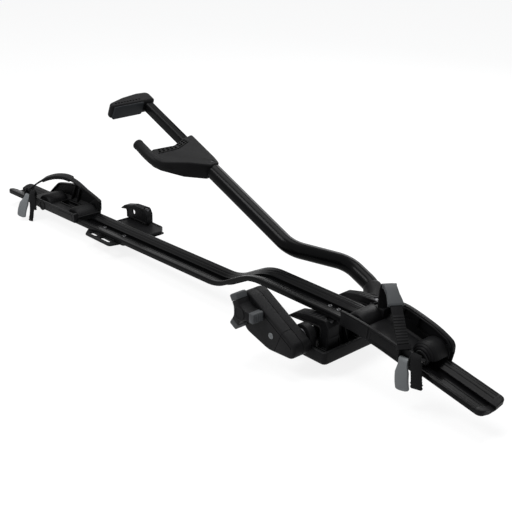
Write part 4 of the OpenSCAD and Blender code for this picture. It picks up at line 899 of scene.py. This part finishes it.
class CARRIER_OT_lower_jaw(bpy.types.Operator):
    """Builds the lower jaw with its horn, toothed grip and screw"""
    bl_idname = "carrier.lower_jaw"
    bl_label = "Lower jaw"

    def execute(self, context):
        teeth = context.scene.carrier_sizes.grip_teeth
        outline = form([(JAW_BACK, 51), (JAW_BACK, 76), (463, 78.5), (545, 78.5), (538, 50.5), (524, 14),
                        (534, -29), (530, -41), (507, -45), (489, -35), (463, 8)],
                       [6, 8, 10, 5, 5, 20, 6, 6, 16, 16, 30], 6)
        jaw = plate("jaw", outline, self.thinned, -JAW_HALF, JAW_HALF, (3.0, 4.2), 5)
        out = (in_arm(1, 0, 0) - in_arm(0, 0, 0)).normalized()
        up = (in_arm(0, 0, 1) - in_arm(0, 0, 0)).normalized()
        reach = BAR_HALF + 0.4
        room = rounded_box(-reach, reach, -reach, reach, BAR_CORNER, 5)
        cut(jaw, sweep("bore", [[in_arm(u, ARM_Y + a, b) for a, b in room] for u in (520, 560)]))
        path = evenly(spline([(538, 49), (529.5, 26), (525.6, 13), (527.5, -6), (532, -25)], 8), 1.0)
        cut(jaw, plate("line", band(path, -16.2, -13.8), self.thinned, JAW_HALF - 2.2, JAW_HALF + 2))
        cut(jaw, joined("pockets", self.pockets(path, teeth)))
        cut(jaw, turned("sink", [(3.2, JAW_HALF - 1.9), (3.2, JAW_HALF + 4)], in_arm(453, ARM_Y, 0), up))
        spine = spline([(556, -40), (530, -40), (508, -36), (494, -24), (488, -6), (490, 10)], 5)
        root = sweep("root", rod_rings(spine, [10.9 + 0.08 * k for k in range(len(spine))], 36))
        put(joined("jaw_moulding", [jaw, root]), "arm", "black_plastic", ("lower_jaw",), angle=30)
        profile = [(10.6, 530), (11, 534), (11, 553), (10.7, 562), (10.7, 565), (11.2, 565.6), (11.2, 570),
                   (10.4, 571.6), (8.6, 572), (8.0, 571.2), (3, 570.8)]
        put(turned("jaw_horn_sleeve", profile, in_arm(0, -40, 0), out, 36), "arm", "soft_rubber",
            ("jaw_horn",))
        grip = [plate("grip", band(path, -2.0, 1.6), in_arm, -11, 11, 0.6, 2)]
        for p, d in self.along(path, teeth):
            for low in (-9.4, -2.6, 4.2):
                tooth = [(p.x + d.x * a - d.y * b, p.y + d.y * a + d.x * b)
                         for a, b in ((-2.4, 1.0), (2.4, 1.0), (1.5, 2.6), (-1.5, 2.6))]
                grip.append(plate("tooth", tooth, in_arm, low, low + 5.2, 0.35, 2))
        put(joined("jaw_grip_teeth", grip), "arm", "soft_rubber", ("lower_jaw_grip",), angle=34)
        head = screw_head("jaw_clamp_screw", in_arm(453, ARM_Y, JAW_HALF - 2.1), up, 2.6, 1.5, 1.3)
        put(head, "arm", "steel", ("jaw_screw",))
        return {"FINISHED"}

    def thinned(self, u, v, w):
        """A place in the arm's frame, where the jaw's height falls to the horn's."""
        t = max(0.0, min(1.0, (4 - v) / 42))
        return in_arm(u, v, w * (1 - 0.41 * t * t * (3 - 2 * t)))

    def along(self, path, count):
        """Even places along a path, each with its heading."""
        for k in range(count):
            i = int((k + 0.5) * (len(path) - 1) / count)
            yield path[i], heading(path, i)

    def pockets(self, path, count):
        """Cutters for the two rows of small pockets beside the mouth."""
        cutters = []
        for p, d in self.along(path, count):
            for row in (-5.4, -10.6):
                quad = [(p.x + d.x * a - d.y * (row + b), p.y + d.y * a + d.x * (row + b))
                        for a, b in ((-2.7, -1.9), (2.7, -1.9), (2.7, 1.9), (-2.7, 1.9))]
                cutters.append(plate("pocket", quad, self.thinned, JAW_HALF - 9, JAW_HALF + 3))
        return cutters


class CARRIER_OT_upper_jaw(bpy.types.Operator):
    """Builds the slide bar, the upper jaw and its pad"""
    bl_idname = "carrier.upper_jaw"
    bl_label = "Upper jaw"

    def execute(self, context):
        section = rounded_box(-BAR_HALF, BAR_HALF, -BAR_HALF, BAR_HALF, BAR_CORNER, 6)
        bar = sweep("bar", [[in_arm(u, ARM_Y + a, b) for a, b in section] for u in (372, 450, 540, 620, 701)])
        cut(bar, block("bar_slot", (460, 606), (ARM_Y + 4.2, ARM_Y + 7.6), (BAR_HALF - 4, BAR_HALF + 3),
                       in_arm, 0))
        put(bar, "jaw", "tray_paint", ("slide_bar",))
        back = PAD_U + 5
        outline = form([(back - 1, -31.5), (back + 14.5, -33), (back + 26, 8), (back + 31, 48),
                        (back + 29, 78.5), (back - 2, 78.5)], [8, 9, 60, 18, 12, 5], 7)
        jaw = plate("jaw", outline, in_arm, -17, 17, 6.6, 6)
        pocket = block("pocket", (back + 5.8, back + 9.2), (-22, -17.4), (8, 20), in_arm, 0)
        cut(jaw, joined("pockets", repeated(pocket, [base(0, 7.6 * k, 0) for k in range(1, 9)])))
        put(jaw, "jaw", "black_plastic", ("upper_jaw",), angle=30)
        outline = form([(PAD_U, -29), (back - 0.6, -29), (back - 0.6, 47.5), (PAD_U, 47.5)],
                       [4, 0.6, 0.6, 3], 4)
        pad = plate("upper_jaw_rubber", outline, in_arm, -15.6, 15.6, 3.0, 5)
        put(pad, "jaw", "jaw_rubber", ("upper_jaw_pad",))
        put(copied("screw_nut", "drive_nut", 0.4), "jaw", "steel", ("screw_nut",))
        return {"FINISHED"}


PLAIN_END = ((0.0, 0.80), (1.2, 0.90), (4.0, 0.97), (8.0, 1.0))


def dome_end(depth, lines):
    """A domed end profile in steps of 5 degrees, with a groove at each listed step."""
    turns = [(k, math.radians(5 * k)) for k in range(2, 19)]
    return [(depth * (1 - math.cos(a)) + (0.9 if k in lines else 0.0), math.sin(a)) for k, a in turns]


def hump(name, x, z, r, y0, y1, place=base, near=PLAIN_END):
    """A rounded hump across the tray: the upper half of a drum, with a chosen near end."""
    profile = [(y0 + d, grow) for d, grow in near] + [(y1 - d, grow) for d, grow in PLAIN_END[::-1]]
    rings = []
    for y, grow in profile:
        turns = [math.pi * k / 32 for k in range(33)]
        rings.append([place(x + r * grow * math.cos(a), y, z + r * grow * math.sin(a)) for a in turns])
    return sweep(name, rings)


def crest(name, points, place, wide, deep, lift):
    """A rounded rim along the top of a wall."""
    path = spline(points, 6)
    rings = []
    for i, p in enumerate(path):
        d = heading(path, i)
        section = rounded_box(*wide, -deep, lift, 1.4, 4)
        rings.append([place(p.x - d.y * a, p.y + d.x * a, b) for b, a in section])
    return sweep(name, rings)


def strip(name, x0, x1, section):
    """A strip of one section along the tray's path, from one X to another."""
    return sweep(name, [tray_ring(p, section) for p in tray_frames(x0, x1)])


def rear_strip(name, x0, x1, section):
    """A straight strip of one section along the rear run."""
    return sweep(name, [[in_rear(x, y, z) for y, z in section] for x in (x0, x1)])


class CARRIER_OT_front_holder(bpy.types.Operator):
    """Builds the front wheel holder and its blank plate"""
    bl_idname = "carrier.front_holder"
    bl_label = "Front wheel holder"

    def execute(self, context):
        face = FRONT_FACE
        inner = face + HOLDER_WALL
        pieces = [strip("skirt", 36, 214, rounded_box(face, inner, -4, 24, 1.2, 3)),
                  strip("skirt_rail", 36, 214, rounded_box(face - 0.8, inner, 21.4, 24.3, 0.8, 3)),
                  strip("skirt_hem", 102, 176, rounded_box(face - 0.9, face + 1, -4.2, -1.2, 0.7, 3)),
                  strip("deck", 37, 208, [(-38, 8.2), (35.5, 8.2), (35.5, 11), (-38, 11)]),
                  strip("fillet", 40, 206, [(24, 10.5), (35, 10.5), (35, 19), (32, 14.5)])]
        for x0, x1, low, high in ((104, 172, 0.6, 1.8), (104, 172, 18.0, 19.2), (103.3, 104.7, 0.6, 19.2),
                                  (171.3, 172.7, 0.6, 19.2)):
            section = rounded_box(face - 0.6, face + 0.6, low, high, 0.4, 2)
            pieces.append(strip("panel_edge", x0, x1, section))
        wall = rounded([(40, 68), (40, 88), (62, 101), (100, 113), (128, 115), (184, 102), (218, 88),
                        (227, 79), (228, 66), (222, 40), (140, 58)],
                       [3, 14, 20, 30, 60, 60, 10, 6, 8, 3, 3])
        pieces.append(plate("far_wall", wall, side, 34.7, 39.1, 1.2, 3))
        rim = [(42, 87), (62, 100.4), (100, 112.4), (128, 114.2), (184, 101.4), (217, 88), (226, 79),
               (226.6, 67)]
        pieces.append(crest("crest", rim, side, (31.0, 39.9), 3.4, 0.8))
        border = form([(104, 64), (104, 111), (128, 113), (184, 100), (216, 87), (224, 78), (220, 46),
                       (150, 58)], [3, 8, 40, 60, 8, 6, 4, 20])
        frame_wall = plate("frame", border, side, 29.4, 35.2, 1.4, 3)
        for hole in ([(116, 96), (124, 111), (141, 109), (136, 94)],
                     [(151, 85), (156, 105), (184, 97.5), (214, 85.5), (219, 79), (204, 72), (176, 77.5)]):
            cut(frame_wall, plate("pocket", rounded(hole, 2.2, 4), side, 20, 34.4))
        slant, rise = Vector((0.82, 0, -0.57)), Vector((0.35, 0.45, 0.82)).normalized()
        pieces += [frame_wall, hump("rear_hump", 62, DECK_Z, 24, -26, 28),
                   hump("front_hump", 195, 59, 26, -14, 34.6, near=dome_end(17, (6, 9, 12))),
                   oval_ring("loop", base(204, -20, 66), 12.5, 6.4, slant, rise, 1.9),
                   block("loop_seat", (196, 213), (-22, -9), (54, 62), base, 2.0, 3),
                   block("lug", (62, 86), (18, 35), (80, 97.8), base, 1.6, 3),
                   block("key_pad", (44, 84), (-36, -30), (84.6, 89), base, 1.2, 3)]
        put(joined("front_holder_shell", pieces), "base", "black_plastic", ("front_holder",), angle=34)
        badge = strip("front_blank_plate", 40, 99, rounded_box(face - 1.2, face - 0.1, 1, 21, 0.5, 3))
        put(badge, "base", "black_plastic", ("front_holder_plate",))
        return {"FINISHED"}


class CARRIER_OT_rear_holder(bpy.types.Operator):
    """Builds the rear wheel holder, its key and its blank plate"""
    bl_idname = "carrier.rear_holder"
    bl_label = "Rear wheel holder"

    def execute(self, context):
        face = REAR_FACE
        inner = face + HOLDER_WALL
        pieces = [rear_strip("skirt", 140, 312, rounded_box(face, inner, 0, 21, 1.2, 3)),
                  rear_strip("lug", 102, 142, rounded_box(face, inner, 0, 14, 1.2, 3)),
                  rear_strip("rail", 140, 312, rounded_box(face - 0.7, inner, 18.6, 21.3, 0.8, 3)),
                  rear_strip("end_frame", 305, 312.6, rounded_box(face - 0.9, inner + 5, 2, 21.4, 1.2, 3)),
                  rear_strip("fillet", 150, 306, [(24, 11), (35.2, 11), (35.2, 20), (32, 15)])]
        deck = plate("deck", rounded_box(102, 312, -38, 36, 4), in_rear, 8.5, 11.4)
        hole = rounded_box(190, 248, 2, 26, 6)
        cut(deck, plate("window", hole, in_rear, 0, 20))
        pieces.append(deck)
        rim = plate("window_rim", rounded_box(186.5, 251.5, -1.5, 29.5, 9), in_rear, 11.2, 13.4, 1.0, 3)
        pieces.append(cut(rim, plate("window", hole, in_rear, 0, 20)))
        wall = rounded([(86, 0), (138, 42), (197, 53), (229, 58.5), (312, 38), (306, 0)],
                       [3, 20, 30, 20, 8, 3])
        pieces.append(plate("far_wall", wall, rear_side, 35, 39.4, 1.2, 3))
        top = [(92, 6), (130, 36.5), (146, 43.2), (197, 52.4), (226, 57), (240, 55.2), (303, 39.6),
               (309.5, 32), (308.6, 14)]
        pieces.append(crest("crest", top, rear_side, (31.0, 40.1), 3.4, 0.8))
        for foot, head in (((192, 12), (214, 53)), ((218, 12), (233, 54))):
            web = rounded([foot, (foot[0] + 5, foot[1]), (head[0] + 5, head[1]), head], 0.8, 2)
            pieces.append(plate("rib", web, rear_side, 28.6, 36, 1.0))
        brace = rounded([(252, 10), (306, 14), (306, 37), (296, 40)], [1, 2, 4, 4], 4)
        boss = [(13, -1), (13, 1.2), (11.5, 2.2), (9, 2.2), (8, 1.2), (2, 1.0)]
        drum = [(12, -1), (13, 0), (13, 12), (12, 13), (9.5, 13.4), (8.5, 12.6), (2, 12.4)]
        pieces += [plate("brace", brace, rear_side, 31, 36, 1.4),
                   hump("rear_hump", 158, 0, 28, -24, 30, in_rear),
                   hump("front_hump", 284, 0, 27, -24, 30, in_rear),
                   turned("boss", boss, in_rear(172, face + 0.2, 9.5), -Y_AXIS, 36),
                   turned("drum", drum, in_rear(108, -22, 22), -Y_AXIS, 36),
                   block("drum_seat", (98, 118), (-34, -20), (9, 20), in_rear, 2.0, 3)]
        put(joined("rear_holder_shell", pieces), "carriage", "black_plastic", ("rear_holder",), angle=34)
        badge = rear_strip("rear_blank_plate", 244, 304,
                           rounded_box(face - 1.2, face - 0.1, 3, 17, 0.5, 3))
        put(badge, "carriage", "black_plastic", ("rear_holder_plate",))
        put(copied("holder_key", "slot_key", 0.5), "carriage", "black_plastic", ("holder_key",))
        return {"FINISHED"}


FRONT_LINE = ((186.0, -46.1), (74.0, 28.1))
FRONT_ARCH = [(0.007, 82), (0.075, 92), (0.209, 108), (0.417, 133), (0.611, 147), (0.775, 152), (0.894, 145),
              (0.954, 123), (0.961, 98)]
REAR_LINE = ((REAR_X + 121.0, -40.0), (REAR_X + 235.0, 37.9))
REAR_ARCH = [(0.014, 46.043), (0.101, 58.043), (0.275, 74.043), (0.478, 85.043), (0.666, 87.043),
             (0.797, 82.043), (0.912, 73.043), (1.043, 58.043), (1.101, 50.043)]


def evenly(path, step):
    """A path resampled at even steps."""
    out = [path[0].copy()]
    left = step
    for a, b in zip(path, path[1:]):
        d = (b - a).length
        while d >= left:
            out.append(a.lerp(b, left / d))
            a = out[-1]
            d = (b - a).length
            left = step
        left -= d
    return out


def arch_rings(line, path, section_at):
    """Rings across an upright plane: width runs across the plane, height along the path's normal."""
    a, b = Vector(line[0]), Vector(line[1])
    along = (b - a).normalized()
    across = Vector((-along.y, along.x))
    rings = []
    for i, p in enumerate(path):
        d = heading(path, i)
        ring = []
        for wide, high in section_at(i):
            s, z = p.x - d.y * high, p.y + d.x * high
            flat = a + along * s + across * wide
            ring.append(base(flat.x, flat.y, z))
        rings.append(ring)
    return rings


class CARRIER_OT_straps(bpy.types.Operator):
    """Builds the toothed straps, their rim pads and hanging tails"""
    bl_idname = "carrier.straps"
    bl_label = "Straps"

    def execute(self, context):
        sizes = context.scene.carrier_sizes
        self.strap(sizes, "front", FRONT_LINE, FRONT_ARCH, "base", (0.40, 0.66), "pad_grey", (5, 62))
        self.strap(sizes, "rear", REAR_LINE, REAR_ARCH, "carriage", (0.27, 0.70), "black_plastic", (5, 40))
        self.tail(sizes, "front", FRONT_PIN, 40, 4, 9.0, 1.0, "base")
        self.tail(sizes, "rear", REAR_PIN, 58, 8, 0.0, 0.62, "carriage")
        return {"FINISHED"}

    def tooth(self, sizes, at):
        """The height of the teeth at a distance along a strap."""
        return sizes.strap_tooth * max(0.0, 1 - 1.5 * ((at % sizes.strap_pitch) / sizes.strap_pitch))

    def strap(self, sizes, name, line, arch, body, cover, pad_finish, toothed):
        """A toothed arch, with a sleeve over the given share of it."""
        span = (Vector(line[1]) - Vector(line[0])).length
        curve = spline([(f * span, z) for f, z in arch], 10)
        path = evenly(curve, STRAP_STEP)

        def section(i):
            at = i * STRAP_STEP
            tooth = self.tooth(sizes, at) if toothed[0] < at < toothed[1] else 0.0
            return rounded_box(-STRAP_HALF_W, STRAP_HALF_W, -STRAP_HALF_T, STRAP_HALF_T + tooth, 0.7, 2)

        strap = sweep(name + "_band", arch_rings(line, path, section))
        put(strap, body, "soft_rubber", (name + "_strap",), angle=30)
        first, last = int(cover[0] * len(path)), int(cover[1] * len(path))
        piece = path[first:last + 1]
        n = len(piece) - 1

        def sleeve(i):
            t = i / n
            end = min(t, 1 - t) * n * STRAP_STEP
            if pad_finish == "pad_grey":
                ear = 1.5 * math.exp(-(((1 - t) * n * STRAP_STEP - 3.6) / 2.2) ** 2)
                wide = max(14.2 - 0.14 * t * n * STRAP_STEP, 11.0 + 0.6 * (2 * t - 1) ** 2) + ear
            else:
                wide = 12.4
            thick = 4.1 - 1.3 * max(0.0, 1 - end / 2.2)
            return rounded_box(-wide, wide, -thick, thick, 1.1, 3)

        pad = sweep("pad", arch_rings(line, piece, sleeve))
        ridges = [pad]
        profile = rounded_box(-10.5, 10.5, -4.8, -3.2, 0.4, 2)
        for k in range(5):
            i = int(n * (0.30 + 0.1 * k))
            ridges.append(sweep("ridge", arch_rings(line, piece[i:i + 3], lambda j: profile)))
        put(joined(name + "_rim_sleeve", ridges), body, pad_finish, (name + "_rim_pad",), angle=34)

    def tail(self, sizes, name, pin, drop, out, lean, step, body):
        """A hanging band: it leans by so much, and beyond the step only its rear half goes on."""
        curve = spline([(2.5, 20), (-2, 12), (-2.5, 0), (-3, -drop * 0.5), (-out, -drop)], 12)
        path = evenly(curve, 1.0)
        total = len(path)
        rings = []
        for i, p in enumerate(path):
            d = heading(path, i)
            left = total - 1 - i
            ears = math.exp(-((left - 3) / 1.3) ** 2) + math.exp(-((left - 9) / 1.3) ** 2)
            half = 9.0 + 1.3 * ears - (0.6 if left < 1 else 0.0)
            right = half if i < step * total else 1.0
            tooth = self.tooth(sizes, i) if 8 < i < total - 8 else 0.0
            ring = []
            middle = pin[0] + 23.1 + lean * i / total
            for wide, high in rounded_box(-half, right, -STRAP_HALF_T - tooth, STRAP_HALF_T, 0.6, 2):
                out_y = pin[1] + p.x + d.y * high + 0.3 * wide * min(1.0, i / 20)
                ring.append(base(middle + wide, out_y, pin[2] + p.y - d.x * high))
            rings.append(ring)
        put(sweep(name + "_band_tail", rings), body, "soft_rubber", (name + "_strap_tail",), angle=30)


class CARRIER_OT_buckles(bpy.types.Operator):
    """Builds the buckles with their levers and pins"""
    bl_idname = "carrier.buckles"
    bl_label = "Buckles"

    def execute(self, context):
        self.buckle("front", FRONT_PIN, 12.5, "base", 0.0, 0.09, FRONT_LINE, FRONT_ARCH)
        self.buckle("rear", REAR_PIN, 9.0, "carriage", 20.0, 0.0, REAR_LINE, REAR_ARCH)
        return {"FINISHED"}

    def buckle(self, name, pin, top, body, tilt, lean, line, arch):
        def place(y, z, x):
            return base(pin[0] + x, pin[1] + y, pin[2] + z)

        back = rounded([(5.6, -16), (8.4, -16), (8.4, top + 4), (5.6, top + 4)], 0.8, 2)
        pieces = [plate("back", back, place, -12, 12, 0.8)]
        outline = rounded([(-6.4, -6.4), (6, -8.5), (8, 9), (6.5, 17), (3, 17.5), (-4, 7.4)],
                          [5.5, 1, 2, 1.2, 1.2, 4], 5)
        cheek = plate("cheek", outline, place, 10.3, 13, 0.8, 3)
        pieces += repeated(cheek, [base(-23.3, 0, 0)])
        span = (Vector(line[1]) - Vector(line[0])).length
        path = evenly(spline([(f * span, z) for f, z in arch], 10), 2.0)
        outer = rounded_box(-12.2, 12.2, -3.4, 4.6, 1.4, 3)
        inner = rounded_box(-10.3, 10.3, -1.7, 2.6, 0.7, 2)
        mouth = sweep("mouth", arch_rings(line, path[:5], lambda i: outer))
        pieces.append(cut(mouth, sweep("room", arch_rings(line, path[:9], lambda i: inner))))
        put(joined(name + "_buckle_body", pieces), body, "black_plastic", (name + "_buckle",))
        angle = -math.radians(tilt)

        def lever_place(y, z, x):
            c, s = math.cos(angle), math.sin(angle)
            return base(pin[0] + x, pin[1] + y * c - z * s, pin[2] + y * s + z * c)

        spine = evenly(spline([(-1.2, 3), (-6.5, -18.9), (-7.5, -37.8), (-5, -54)], 10), LEVER_STEP)
        last = len(spine) - 1
        rings = []
        for i, p in enumerate(spine):
            d = heading(spine, i)
            grow = max(0.0, min(1.0, (p.length - 9) / 12))
            left = (last - i) * LEVER_STEP
            blunt = max(0.0, LEVER_TIP_R - left)
            half = 9.7 + 0.9 * grow - LEVER_TIP_R + math.sqrt(LEVER_TIP_R ** 2 - blunt ** 2)
            thick = 2.5 - 0.9 * max(0.0, 1 - left / 4)
            section = rounded_box(-half, half, -thick, thick, 1.3, 4)
            turn = 0.38 * grow
            shift = -lean * min(0.0, p.y)
            rings.append([lever_place(p.x - d.y * high + turn * wide, p.y + d.x * high, wide + shift)
                          for wide, high in section])
        blade = sweep("blade", rings)
        hub = turned("hub", [(4.2, -9.7), (5, -9), (5, 9), (4.2, 9.7)], base(*pin), X_AXIS, 32)
        put(joined(name + "_buckle_lever", [blade, hub]), name + "_lever", "lever_grey", (name + "_lever",),
            angle=34)
        rod = turned(name + "_buckle_pin", [(1.2, -13.3), (2, -12.8), (2, 12.8), (1.2, 13.3)], base(*pin),
                     X_AXIS, 24)
        put(rod, body, "steel", (name + "_lever_pin",))


class CARRIER_OT_rear_bracket(bpy.types.Operator):
    """Builds the rear bracket with its slots, seat rubber and bolts"""
    bl_idname = "carrier.rear_bracket"
    bl_label = "Rear bracket"

    def execute(self, context):
        x0, x1 = BRACKET_X
        outline = rounded([(x0, -19.6), (x1 - 2, -19.6), (x1, 40), (x1, 86), (x1 - 22, 106), (x0 + 8, 106),
                           (x0, 92)], [2, 2, 6, 8, 10, 8, 8])
        near = form([(x0, -19), (x0, -30), (x0 + 22, -54), (x1 - 10, -54), (x1 - 4, -30), (x1 - 2, -19)],
                    [2, 6, 8, 8, 6, 2])
        far = form([(x0, 29), (x1, 29), (x1, 86), (x1 - 22, 106), (x0 + 8, 106), (x0, 92)],
                   [3, 3, 8, 10, 8, 8])
        pieces = [plate("plate", outline, base, PLATE_LOW, 7.6, 0.8, 2)]
        wing = plate("near_wing", near, base, 7.3, 12, 1.2)
        for start, length in ((-731, 18), (-691, 28)):
            slot = rounded_box(start - 5.5, start + length + 5.5, -45.5, -34.5, 5.4, 6)
            cut(wing, plate("slot", slot, base, -5, 30))
        pieces += [wing, plate("far_wing", far, base, PLATE_LOW, 12, 1.4, top=recess(3.0, 1.4)),
                   block("hem", (x0 + 24, x1 - 14), (-54.2, -51), (11.4, 13.2), base, 0.7),
                   rear_strip("saddle", 360, 476, rounded_box(-20, 20, -10.2, -6.3, 1.2, 3))]
        put(joined("rear_bracket_plate", pieces), "base", "black_plastic", ("rear_bracket",), angle=34)
        pad = plate("rear_seat_rubber", rounded_box(x0 + 6, x1 - 6, -18, 100, 6), base, 0, SEAT_T, 0.7, 2)
        put(pad, "base", "soft_rubber", ("rear_seat_pad",))
        up = in_rear(0, 0, 1) - in_rear(0, 0, 0)
        for k, x in enumerate((-737, -661)):
            head = screw_head("bracket_screw_%d" % k, in_rear(x - REAR_X, 0, -4.0), up, 4.5, 3.2, 2.6)
            put(head, "base", "steel", ("bracket_bolts",))
        return {"FINISHED"}


# Lamps: place and aim in metres, width in metres and power in watts.
LAMPS = (("key_lamp", (-0.6, -1.4, 2.0), (-0.3, 0, 0.1), 1.0, 42),
         ("top_lamp", (-0.6, 0.4, 2.4), (-0.4, 0, 0.1), 1.8, 50),
         ("rim_lamp", (-0.9, 1.8, 1.2), (-0.4, 0, 0.1), 1.0, 15))
CAMERA_PLACE = (1.1003, -1.2336, 0.8726)
CAMERA_RIGHT, CAMERA_BACK = (0.67725, 0.7356, 0.01419), (0.67361, -0.62771, 0.39019)
CAMERA_LENS, CAMERA_SENSOR = 71.45, 36.0


class CARRIER_OT_stage(bpy.types.Operator):
    """Builds the floor, the lamps, the world and the camera"""
    bl_idname = "carrier.stage"
    bl_label = "Stage"

    def execute(self, context):
        scene = context.scene
        scene.view_settings.view_transform = "Standard"
        low = CAD_BOX[0][2]
        deselect()
        bpy.ops.mesh.primitive_plane_add(size=30.0, location=(-0.4, 0, low - 0.0005))
        floor = named("floor")
        floor.data.materials.append(self.pale("floor_white"))
        world = bpy.data.worlds.new("studio")
        scene.world = world
        world.use_nodes = True
        nodes, links = world.node_tree.nodes, world.node_tree.links
        nodes.clear()
        out = new_node(nodes, "OutputWorld")
        dim = new_node(nodes, "Background", {"Color": (0.95, 0.97, 1.0, 1), "Strength": 0.55})
        white = new_node(nodes, "Background", {"Color": (1, 1, 1, 1)})
        mix = new_node(nodes, "MixShader")
        links.new(self.seen(nodes, links), mix.inputs[0])
        links.new(dim.outputs[0], mix.inputs[1])
        links.new(white.outputs[0], mix.inputs[2])
        links.new(mix.outputs[0], out.inputs["Surface"])
        for name, place, aim, size, power in LAMPS:
            deselect()
            bpy.ops.object.light_add(type="AREA", location=place)
            lamp = bpy.context.object
            lamp.name = name
            lamp.data.shape = "DISK"
            lamp.data.size = size
            lamp.data.energy = power
            lamp.rotation_euler = (Vector(aim) - Vector(place)).to_track_quat("-Z", "Y").to_euler()
        deselect()
        bpy.ops.object.camera_add()
        camera = bpy.context.object
        camera.name = "photo_camera"
        right = Vector(CAMERA_RIGHT).normalized()
        back = Vector(CAMERA_BACK)
        back = (back - right * back.dot(right)).normalized()
        up = back.cross(right)
        turn = Matrix((right, up, back)).transposed().to_4x4()
        camera.matrix_world = Matrix.Translation(CAMERA_PLACE) @ turn
        camera.data.lens = CAMERA_LENS
        camera.data.sensor_width = CAMERA_SENSOR
        scene.camera = camera
        return {"FINISHED"}

    def seen(self, nodes, links):
        """A mask of the rays that show the background: camera, glossy and transmission rays."""
        path = new_node(nodes, "LightPath")
        total = path.outputs["Is Camera Ray"]
        for name in ("Is Glossy Ray", "Is Transmission Ray"):
            add = new_node(nodes, "Math", operation="MAXIMUM")
            links.new(total, add.inputs[0])
            links.new(path.outputs[name], add.inputs[1])
            total = add.outputs[0]
        return total

    def pale(self, name):
        """A matt white that glows to the rays that show the background."""
        material = bpy.data.materials.new(name)
        material.use_nodes = True
        nodes, links = material.node_tree.nodes, material.node_tree.links
        shader = nodes["Principled BSDF"]
        shader.inputs["Base Color"].default_value = (0.9, 0.9, 0.9, 1)
        shader.inputs["Roughness"].default_value = 0.8
        out = nodes["Material Output"]
        glow = new_node(nodes, "Emission", {"Color": (1, 1, 1, 1)})
        share = new_node(nodes, "Math", {1: 0.85}, operation="MULTIPLY")
        mix = new_node(nodes, "MixShader")
        links.new(self.seen(nodes, links), share.inputs[0])
        links.new(share.outputs[0], mix.inputs[0])
        links.new(shader.outputs[0], mix.inputs[1])
        links.new(glow.outputs[0], mix.inputs[2])
        links.new(mix.outputs[0], out.inputs["Surface"])
        return material


class CARRIER_PT_panel(bpy.types.Panel):
    """Lists the carrier's sizes, colours and building steps"""
    bl_idname = "CARRIER_PT_panel"
    bl_label = "Roof bike carrier"
    bl_space_type = "VIEW_3D"
    bl_region_type = "UI"
    bl_category = "Carrier"

    def draw(self, context):
        for group in (context.scene.carrier_sizes, context.scene.carrier_colours):
            for name in group.bl_rna.properties.keys():
                if name not in ("rna_type", "name"):
                    self.layout.prop(group, name)
        for operator in OPERATORS:
            self.layout.operator(operator.bl_idname)


OPERATORS = (CARRIER_OT_stage, CARRIER_OT_finishes, CARRIER_OT_tray, CARRIER_OT_front_foot,
             CARRIER_OT_bar_claws, CARRIER_OT_arm, CARRIER_OT_knob_housing, CARRIER_OT_knob,
             CARRIER_OT_lower_jaw, CARRIER_OT_upper_jaw, CARRIER_OT_front_holder, CARRIER_OT_rear_holder,
             CARRIER_OT_straps, CARRIER_OT_buckles, CARRIER_OT_rear_bracket)
CLASSES = (CarrierColours, CarrierSizes) + OPERATORS + (CARRIER_PT_panel,)


def register():
    for cls in CLASSES:
        bpy.utils.register_class(cls)
    bpy.types.Scene.carrier_colours = PointerProperty(type=CarrierColours)
    bpy.types.Scene.carrier_sizes = PointerProperty(type=CarrierSizes)


def unregister():
    del bpy.types.Scene.carrier_sizes
    del bpy.types.Scene.carrier_colours
    for cls in reversed(CLASSES):
        bpy.utils.unregister_class(cls)


def main():
    register()
    bpy.ops.carrier.stage()
    bpy.ops.carrier.finishes()
    bpy.ops.carrier.tray()
    bpy.ops.carrier.front_foot()
    bpy.ops.carrier.bar_claws()
    bpy.ops.carrier.arm()
    bpy.ops.carrier.knob_housing()
    bpy.ops.carrier.knob()
    bpy.ops.carrier.lower_jaw()
    bpy.ops.carrier.upper_jaw()
    bpy.ops.carrier.front_holder()
    bpy.ops.carrier.rear_holder()
    bpy.ops.carrier.straps()
    bpy.ops.carrier.buckles()
    bpy.ops.carrier.rear_bracket()


if __name__ == "__main__":
    main()
